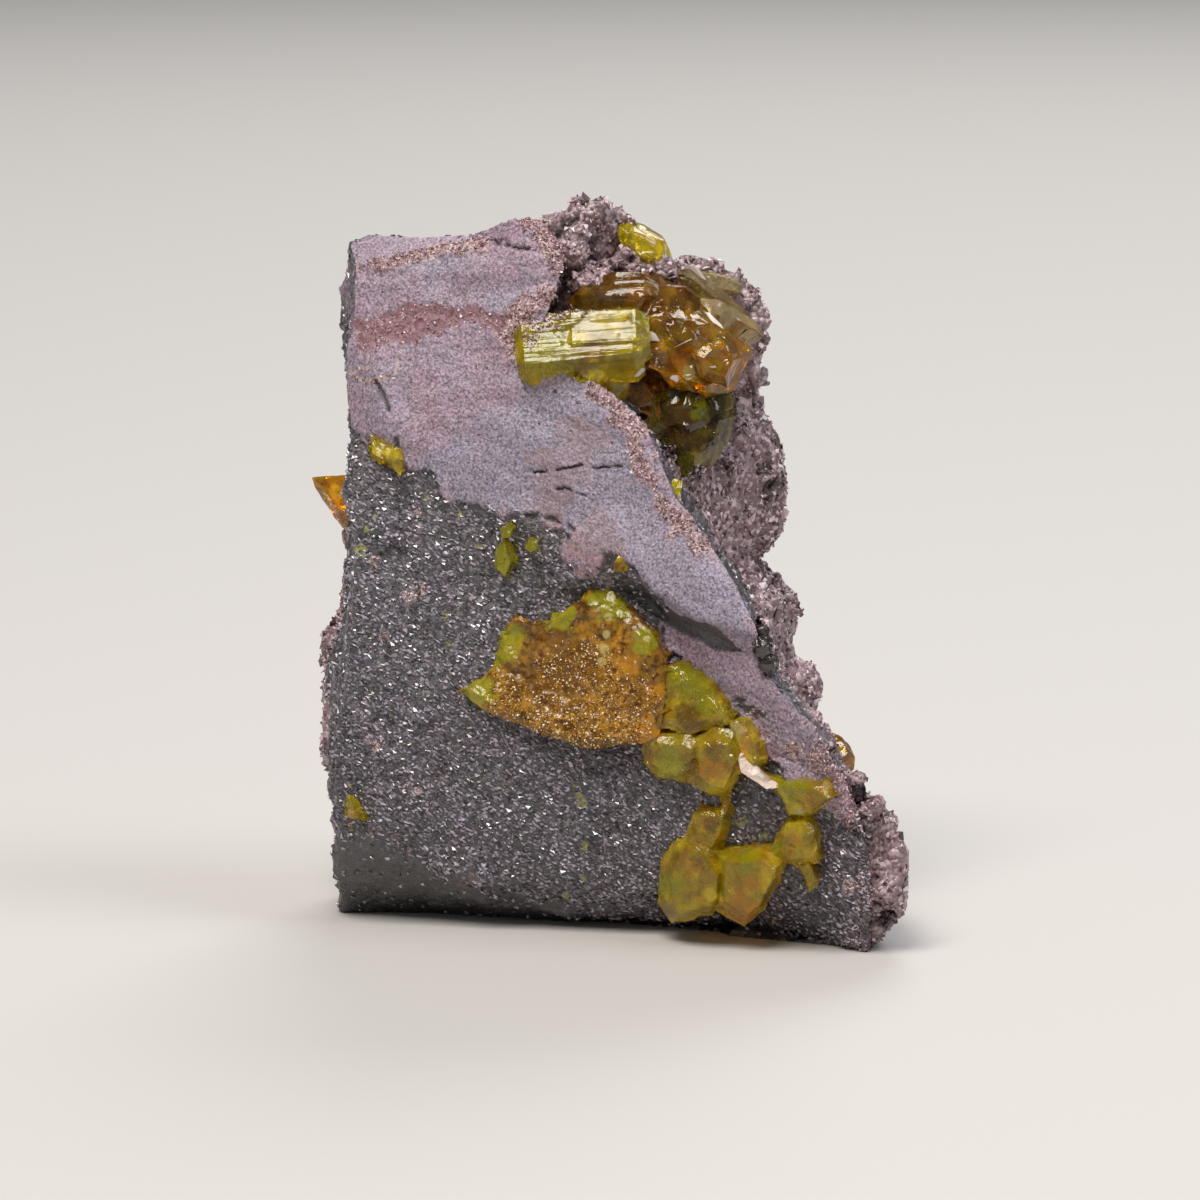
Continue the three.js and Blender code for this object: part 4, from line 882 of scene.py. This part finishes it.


# facets: size and depth in mm of broken facets; lines: direction of the growth lines, their depth in mm;
# veils: number of inner cracks, thin and full of air; the other lists are coloured places in the picture,
# each with its x, y and radius in pixels; the pale yellow ones are painted highlights
crystals = {
    "vugPrism": {"node": "vug_prism_crystal", "kind": "lime", "slot": "lime_crystal",
                 "facets": (1.4, 0.03), "lines": ((1, 0, 0.08), 0.02), "veils": 16,
                 "shade": [(592, 355, 17), (582, 372, 9)], "green": [(550, 355, 26)],
                 "paleAndHighlight": [(590, 320, 16), (612, 316, 12), (625, 335, 10)]},
    "vugRear": {"node": "vug_rear_crystal", "kind": "brown", "slot": "brown_crystal",
                "facets": (1.2, 0.03), "lines": ((1, 0, 0.02), 0.02), "veils": 8,
                "shade": [(610, 283, 26)]},
    "vugAmber": {"node": "vug_amber_crystal", "kind": "amber", "slot": "amber_crystal",
                 "facets": (0.9, 0.1), "lines": ((0.8, 0, -0.6), 0.015), "veils": 22,
                 "orange": [(738, 365, 14)], "shade": [(665, 315, 14)], "paleAndHighlight": [(690, 372, 8)]},
    "vugOlive": {"node": "vug_olive_crystal", "kind": "olive", "slot": "olive_crystal",
                 "facets": (0.9, 0.08), "lines": ((0.2, 0, 1), 0.012), "veils": 12,
                 "green": [(690, 465, 14), (700, 410, 12)], "shade": [(680, 425, 22)]},
    "vugBrown": {"node": "vug_brown_crystal", "kind": "brown", "slot": "brown_crystal",
                 "facets": (0.6, 0.06), "lines": ((1, 0, 0), 0.01), "veils": 6, "orange": [(645, 420, 12)]},
    "vugTop": {"node": "vug_top_crystal", "kind": "lime", "slot": "lime_crystal",
               "facets": (0.9, 0.03), "lines": ((1, 0, -0.6), 0.012), "veils": 6},
    "paleBlades": {"node": "vug_pale_blades", "kind": "pale", "slot": "pale_crystal",
                   "facets": (0.8, 0.03), "lines": ((0.7, 0, -0.7), 0.012), "veils": 8,
                   "green": [(695, 295, 9)], "orange": [(735, 330, 5)]},
    "vugSmall": {"node": "vug_small_crystal", "kind": "lime", "slot": "lime_crystal",
                 "facets": (0.5, 0.03), "lines": ((0, 0, 1), 0.01), "veils": 0},
    "frontPlate": {"node": "front_plate_crystal", "kind": "plate", "slot": "plate_crystal",
                   "facets": (0.5, 0.09), "lines": ((0.1, 0, 1), 0.03), "veils": 10,
                   "green": [(502, 645, 24), (478, 692, 20), (560, 612, 20), (610, 600, 24),
                             (645, 640, 16)],
                   "orange": [(648, 728, 14), (655, 690, 12), (630, 665, 12)],
                   "shade": [(572, 668, 30), (545, 688, 20), (555, 640, 14)],
                   "paleAndHighlight": [(608, 618, 5), (606, 634, 5), (604, 648, 6), (602, 662, 5)]},
    "sideCluster": {"node": "side_crystal_cluster", "kind": "face", "slot": "face_crystal",
                    "facets": (0.7, 0.09), "lines": ((0.5, 0, 1), 0.02), "veils": 14,
                    "green": [(690, 680, 22), (668, 764, 18), (705, 700, 14)],
                    "orange": [(712, 770, 12), (745, 748, 8)], "paleAndHighlight": [(735, 728, 8)],
                    "shade": [(690, 715, 14)]},
    "lowerCluster": {"node": "lower_crystal_cluster", "kind": "face", "slot": "face_crystal",
                     "facets": (1.0, 0.06), "lines": ((0.7, 0, -0.72), 0.045), "veils": 20,
                     "green": [(668, 885, 16), (750, 860, 14)], "orange": [(740, 912, 20), (752, 885, 10)],
                     "shade": [(705, 800, 12), (712, 822, 10)]},
    "rightSpray": {"node": "right_crystal_spray", "kind": "face", "slot": "face_crystal",
                   "facets": (0.6, 0.06), "lines": ((0.8, 0, 0.3), 0.02), "veils": 8,
                   "green": [(790, 790, 18), (775, 850, 12)], "orange": [(826, 788, 7), (794, 840, 6)],
                   "paleAndHighlight": [(826, 786, 5), (800, 812, 5)]},
    "leftEdge": {"node": "left_edge_crystals", "kind": "face", "slot": "face_crystal",
                 "facets": (0.4, 0.04), "lines": ((1, 0, 0), 0.01), "veils": 2, "orange": [(350, 818, 6)]},
    "leftVein": {"node": "left_vein_crystal", "kind": "face", "slot": "face_crystal",
                 "facets": (0.4, 0.05), "lines": ((1, 0, -0.7), 0.015), "veils": 2},
    "fleckUpper": {"node": "fleck_upper", "kind": "face", "slot": "lime_crystal",
                   "facets": (0.3, 0.05), "lines": ((1, 0, 0), 0.005), "veils": 0,
                   "green": [(505, 530, 20)]},
    "fleckLower": {"node": "fleck_lower", "kind": "face", "slot": "lime_crystal",
                   "facets": (0.3, 0.05), "lines": ((1, 0, 0), 0.005), "veils": 0,
                   "green": [(502, 560, 20)]},
    "fleckRight": {"node": "fleck_right", "kind": "face", "slot": "lime_crystal",
                   "facets": (0.3, 0.05), "lines": ((1, 0, 0), 0.005), "veils": 0,
                   "green": [(532, 546, 20)]},
    "fleckMiddle": {"node": "fleck_middle", "kind": "face", "slot": "lime_crystal",
                    "facets": (0.3, 0.05), "lines": ((1, 0, 0), 0.005), "veils": 0},
    "backLeft": {"node": "back_left_crystal", "kind": "amber", "slot": "amber_crystal",
                 "facets": (1.2, 0.05), "lines": ((0.5, 0.5, 0.7), 0.015), "veils": 6},
    "backRight": {"node": "back_right_crystal", "kind": "amber", "slot": "amber_crystal",
                  "facets": (1.2, 0.05), "lines": ((0.5, 0.5, 0.7), 0.015), "veils": 8},
    "backFoot": {"node": "back_foot_crystal", "kind": "amber", "slot": "amber_crystal",
                 "facets": (1.2, 0.05), "lines": ((1, 0.3, 0), 0.015), "veils": 6},
}
crystalShape = {
    "edge": 0.16,         # mm, longest edge of a face
    "seatReach": 0.6,     # mm: surface this close to what carries it is drawn down to it
    "seatFull": 0.34,     # mm: up to here all the way
    "seatDepth": 0.1,     # mm that it then lies inside
    "veilThickness": 0.02,
    "veilLimits": (0.15, 1.1),     # mm, smallest and largest half width
}


def seat(mesh, carriers, reach=crystalShape["seatReach"]):
    # closes the gap to the rock and to the crystals before it
    points = coordinates(mesh)
    for i, p in enumerate(points):
        found = nearestOf(carriers, Vector(p), reach)
        if found is None or (Vector(p) - found[0]).dot(found[1]) < 0:
            continue
        share = 1 - float(smooth(np.array(found[2]), crystalShape["seatFull"], reach))
        goal = found[0] - found[1] * crystalShape["seatDepth"]
        points[i] = p + (np.array(goal) - p) * share
    setCoordinates(mesh, points)


def isInside(tree, place):
    # a line from inside a closed skin leaves it an odd number of times, whichever way it goes
    for direction in (Vector((0.31, 0.52, 0.79)), Vector((-0.83, 0.21, 0.34)), Vector((0.12, -0.91, -0.42)),
                      Vector((0.77, -0.35, 0.41)), Vector((-0.26, 0.44, -0.85))):
        start, crossings = Vector(place), 0
        while crossings < 20:
            hit = tree.ray_cast(start, direction)[0]
            if hit is None:
                break
            crossings += 1
            start = hit + direction * 1e-4
        if crossings % 2 == 0:
            return False
    return True


def addVeils(mesh, count):
    # inner cracks as thin pockets of air, whose walls face into the pocket; they flash in the light
    tree = treeOf(mesh)
    points = coordinates(mesh)
    low, high = points.min(axis=0), points.max(axis=0)
    smallest, largest = crystalShape["veilLimits"]
    found = []
    for place in draw.uniform(low, high, (count * 30, 3)):
        distance = tree.find_nearest(Vector(place))[3]
        if distance * 0.85 > smallest and isInside(tree, place):
            found.append((min(distance * 0.85, largest), place))
        if len(found) >= count:
            break
    work = bmesh.new()
    work.from_mesh(mesh)
    for radius, place in found:
        tilt = draw.uniform(0.15, 1.3)
        out = unit(np.array((draw.normal(0, 0.35), -math.cos(tilt), math.sin(tilt))))
        first = unit(np.cross(out, draw.normal(size=3)))
        second = np.cross(out, first)
        angles = np.linspace(0, 2 * math.pi, 12, endpoint=False)
        reach = radius * draw.uniform(0.55, 1.0, 12)
        ring = [work.verts.new(place + (first * math.cos(a) + second * math.sin(a) * 0.8) * r)
                for a, r in zip(angles, reach)]
        front = work.verts.new(place + out * crystalShape["veilThickness"] / 2)
        rear = work.verts.new(place - out * crystalShape["veilThickness"] / 2)
        for a, b in zip(ring, ring[1:] + ring[:1]):
            work.faces.new((b, a, front))
            work.faces.new((a, b, rear))
    work.to_mesh(mesh)
    work.free()


def makeCrystal(name, look, carriers):
    mesh = crispSkin(copyOf(look["node"]), lambda facing: crystalShape["edge"])
    seat(mesh, carriers)
    points = coordinates(mesh)
    seed = len(name) + ord(name[-1]) % 7
    grain, depth = look["facets"]
    move = brokenFacets(points, grain, seed) * depth
    move += brokenFacets(points, grain * 0.4, seed + 1) * depth * 0.3
    direction, lineDepth = look["lines"]
    along = unit(np.array(direction, float))
    growth = points - np.outer(points @ along, along) * 0.95
    move += softNoise(growth, 0.28, 2, seed) * lineDepth
    push(mesh, move)
    return mesh, seed


def finishCrystal(mesh, look, seed):
    # inner cracks, then what the material reads from the mesh
    if look["veils"]:
        addVeils(mesh, look["veils"])
    points = coordinates(mesh)
    along = unit(np.array(look["lines"][0], float))
    addPlaces(mesh, "growth", points - np.outer(points @ along, along) * 0.95)
    spots = onPicture(points)
    jitter = softNoise(points, 0.5, 3, seed + 2) * 0.5
    for mask in crystalSpotTones:
        addMask(mesh, mask, nearSpots(spots, look.get(mask, []), jitter))
    mesh.shade_smooth()
    mesh.set_sharp_from_angle(angle=math.radians(24))


# Small things on the crystals: sugary grains, grains of the crust, and loose cleavage flakes

# pixel place, length and width in mm, and how many degrees its length rises to the right
flakes = [
    (653, 336, 0.8, 0.45, -8), (681, 343, 1.0, 0.14, 26), (639, 372, 0.7, 0.26, 34),
    (699, 273, 0.9, 0.3, -36), (714, 321, 1.1, 0.34, -40), (676, 378, 0.55, 0.4, 10),
    (712, 367, 0.4, 0.12, 5),
]
# what they lie on, how many, and where: (x, y, radius) in the picture; sizes are half widths in mm
dustings = {
    "plateSugar": {"on": "frontPlate", "count": 3400, "sizes": (0.02, 0.065),
                   "spots": [(510, 700, 26), (545, 712, 30), (585, 722, 30), (625, 724, 26), (650, 700, 16),
                             (600, 690, 30), (560, 675, 26), (635, 690, 18), (590, 655, 20)]},
    "prismDust": {"on": "vugPrism", "count": 420, "sizes": (0.03, 0.09),
                  "spots": [(540, 318, 16), (532, 340, 9), (556, 308, 14), (585, 302, 12), (610, 300, 10)]},
    "amberDust": {"on": "vugAmber", "count": 220, "sizes": (0.03, 0.08),
                  "spots": [(650, 360, 14), (672, 296, 14), (690, 300, 10)]},
    "oliveDust": {"on": "vugOlive", "count": 260, "sizes": (0.03, 0.1),
                  "spots": [(700, 480, 16), (668, 455, 10), (672, 380, 10)]},
}


def dustOn(name, mesh):
    look = dustings[name]
    points = coordinates(mesh)
    chance = nearSpots(onPicture(points), look["spots"], softNoise(points, 0.4, 2, 30.0) * 0.4)
    chance = chance * smooth(-normalsOf(mesh)[:, 1], -0.1, 0.2) + 1e-9
    spots, facing = surfacePlaces(mesh, look["count"], chance)
    size = draw.uniform(*look["sizes"], len(spots))
    radii = size[:, None] * draw.uniform(0.7, 1.3, (len(spots), 3))
    return bodiesMesh(name, hullShapes(6, 8), spots + facing * size[:, None] * 0.15,
                      randomTurns(len(spots)), radii)


def makeFlakes(trees):
    # thin cleaved slips, each laid on the surface that is seen at its place
    spots, turns, radii = [], [], []
    for x, y, length, width, rise in flakes:
        start, direction = sightThrough(x, y)
        hits = [hit for hit in (tree.ray_cast(start, direction) for tree in trees) if hit[0] is not None]
        place, facing = min(hits, key=lambda hit: hit[3])[:2]
        angle = math.radians(rise)
        along = np.array((math.cos(angle), 0, math.sin(angle)))
        spots.append(np.array(place) + np.array(facing) * 0.03)
        turns.append(turnsAlong(np.array([facing]) + pictureBack * 0.6, along, 0.05)[0])
        radii.append((length / 2, width / 2, 0.06))
    return bodiesMesh("cleavageFlakes", hullShapes(12, 6), np.array(spots), np.array(turns),
                      np.array(radii))


# Edge grains and splinter keep their form, with a finer skin

def makeSmallBody(nodeName, edge, depth, carriers):
    # edge: longest edge of a face; depth: of its broken facets, both in mm
    mesh = crispSkin(copyOf(nodeName), lambda facing: edge)
    seat(mesh, carriers, 0.4)
    points = coordinates(mesh)
    push(mesh, brokenFacets(points, 0.35, 4.0) * depth + softNoise(points, 0.2, 2, 5.0) * depth * 0.4)
    mesh.shade_smooth()
    mesh.set_sharp_from_angle(angle=math.radians(30))
    return mesh


def fibrousMaterial():
    # A calcite splinter, cleaved: cream, satin, with fine lengthwise fibres
    material, tree = newMaterial("calciteSplinterCleaved")
    place = addNode(tree, "TexCoord").outputs["Object"]
    drawn = addNode(tree, "Mapping", {"Vector": place, "Rotation": (0, math.radians(-40), 0),
                                      "Scale": (0.15, 1, 1)})
    fibres = addNode(tree, "TexNoise", {"Vector": drawn, "Scale": perMetre(0.1), "Detail": 3.0})
    colour = addNode(tree, "MixRGB", {"Fac": fibres, "Color1": linear("#f2e6da"),
                                      "Color2": linear("#b99a86")})
    bump = addNode(tree, "Bump", {"Height": fibres, "Strength": 0.6, "Distance": 0.03 * millimetre})
    body = addNode(tree, "BsdfPrincipled", {"Base Color": colour, "Roughness": 0.38, "IOR": 1.6,
                                            "Normal": bump})
    addNode(tree, "OutputMaterial", {"Surface": body})
    return material


def build():
    ore, masks = makeOre()
    oreTree = treeOf(ore)
    crust = makeCrust(oreTree)
    crustTree = treeOf(crust)
    carriers = [oreTree, crustTree]

    sugar = grainMaterial("sturmaniteSugar")
    garnet = grainMaterial("crustGrainsGrown")
    materials = {kind: crystalMaterial(kind) for kind in crystalKinds}
    for name, look in crystals.items():
        mesh, seed = makeCrystal(name, look, carriers)
        carriers.append(treeOf(mesh))
        for dustName, dusting in dustings.items():
            if dusting["on"] == name:
                plate = dustName == "plateSugar"
                pieceFrom(dustOn(dustName, mesh), dustName, sugar if plate else garnet)
        finishCrystal(mesh, look, seed)
        pieceFrom(mesh, name, materials[look["kind"]], [look["node"]])
    print("crystals", len(crystals))

    pieceFrom(makeFlakes(carriers), "cleavageFlakes", grainMaterial("calciteFlakesCleaved"))
    pieceFrom(makeSmallBody("edge_grains", 0.09, 0.07, carriers[:2]), "edgeGrains",
              grainMaterial("andraditeGrainsGrown"), ["edge_grains"])
    pieceFrom(makeSmallBody("pale_splinter", 0.08, 0.03, carriers), "paleSplinter", fibrousMaterial(),
              ["pale_splinter"])

    pieceFrom(makeOreGrains(ore, oreTree, masks), "oreGrains", grainMaterial("hematiteGrainsBroken"))
    pieceFrom(makeCrustGrains(crust), "crustGrains", garnet)
    pieceFrom(makeSeamGrains(ore, masks, crustTree), "seamGrains", grainMaterial("seamGrainsGrown"))
    pieceFrom(ore, "ore", oreMaterial(), ["hematite_matrix"])
    pieceFrom(crust, "crust", crustMaterial(), ["cavity_crust"])


# Stage: a plain pale floor, soft lights and the camera

stageLook = {
    "floorColour": "#cbc8c4",
    "floorReach": 4000,       # mm
    "worldColour": "#dfe3e8",
    "worldStrength": 0.25,
    # place in mm, width in mm, radiance, colour
    "lights": [
        ((-150, -330, 620), 350, 12.5, "#fff8f0"),
        ((375, -150, 475), 275, 5.0, "#f4f6ff"),
        ((100, 475, 425), 300, 5.0, "#ffffff"),
    ],
}


def makeFloor():
    floor = bpy.data.meshes.new("floor")
    reach = stageLook["floorReach"]
    floor.from_pydata([(-reach, -reach, 0), (reach, -reach, 0), (reach, reach, 0), (-reach, reach, 0)], [],
                      [(0, 1, 2, 3)])
    floor.transform(Matrix.Scale(millimetre, 4))
    material, tree = newMaterial("paperSweepMatte")
    place = addNode(tree, "TexCoord").outputs["Object"]
    fibres = addNode(tree, "TexNoise", {"Vector": place, "Scale": perMetre(0.5), "Detail": 3.0})
    bump = addNode(tree, "Bump", {"Height": fibres, "Strength": 0.1, "Distance": 0.02 * millimetre})
    body = addNode(tree, "BsdfPrincipled", {"Base Color": linear(stageLook["floorColour"]),
                                            "Roughness": 0.7, "Normal": bump})
    addNode(tree, "OutputMaterial", {"Surface": body})
    floor.materials.append(material)
    floorObject = bpy.data.objects.new("floor", floor)
    bpy.context.scene.collection.objects.link(floorObject)


def makeLights():
    world = bpy.data.worlds.new("studio")
    world.use_nodes = True
    world.node_tree.nodes["Background"].inputs["Color"].default_value = linear(stageLook["worldColour"])
    world.node_tree.nodes["Background"].inputs["Strength"].default_value = stageLook["worldStrength"]
    bpy.context.scene.world = world
    aim = Vector(picture["target"]) * millimetre
    for number, (place, width, radiance, colour) in enumerate(stageLook["lights"]):
        light = bpy.data.lights.new(f"softbox{number}", "AREA")
        light.shape = "SQUARE"
        light.size = width * millimetre
        light.energy = radiance * math.pi * light.size ** 2
        light.color = linear(colour)[:3]
        holder = bpy.data.objects.new(light.name, light)
        holder.location = Vector(place) * millimetre
        holder.rotation_euler = (aim - holder.location).to_track_quat("-Z", "Y").to_euler()
        bpy.context.scene.collection.objects.link(holder)


def makeCamera():
    camera = bpy.data.cameras.new("camera")
    camera.sensor_width = 36
    camera.lens = camera.sensor_width * picture["distance"] / picture["fieldWidth"]
    camera.clip_start = 0.01
    camera.clip_end = 10
    holder = bpy.data.objects.new("camera", camera)
    holder.location = (Vector(picture["target"]) + Vector(pictureBack) * picture["distance"]) * millimetre
    holder.rotation_euler = Vector(-pictureBack).to_track_quat("-Z", "Y").to_euler()
    bpy.context.scene.collection.objects.link(holder)
    bpy.context.scene.camera = holder


build()
makeFloor()
makeLights()
makeCamera()
bpy.context.scene.view_settings.view_transform = "Standard"
print("scene ready")
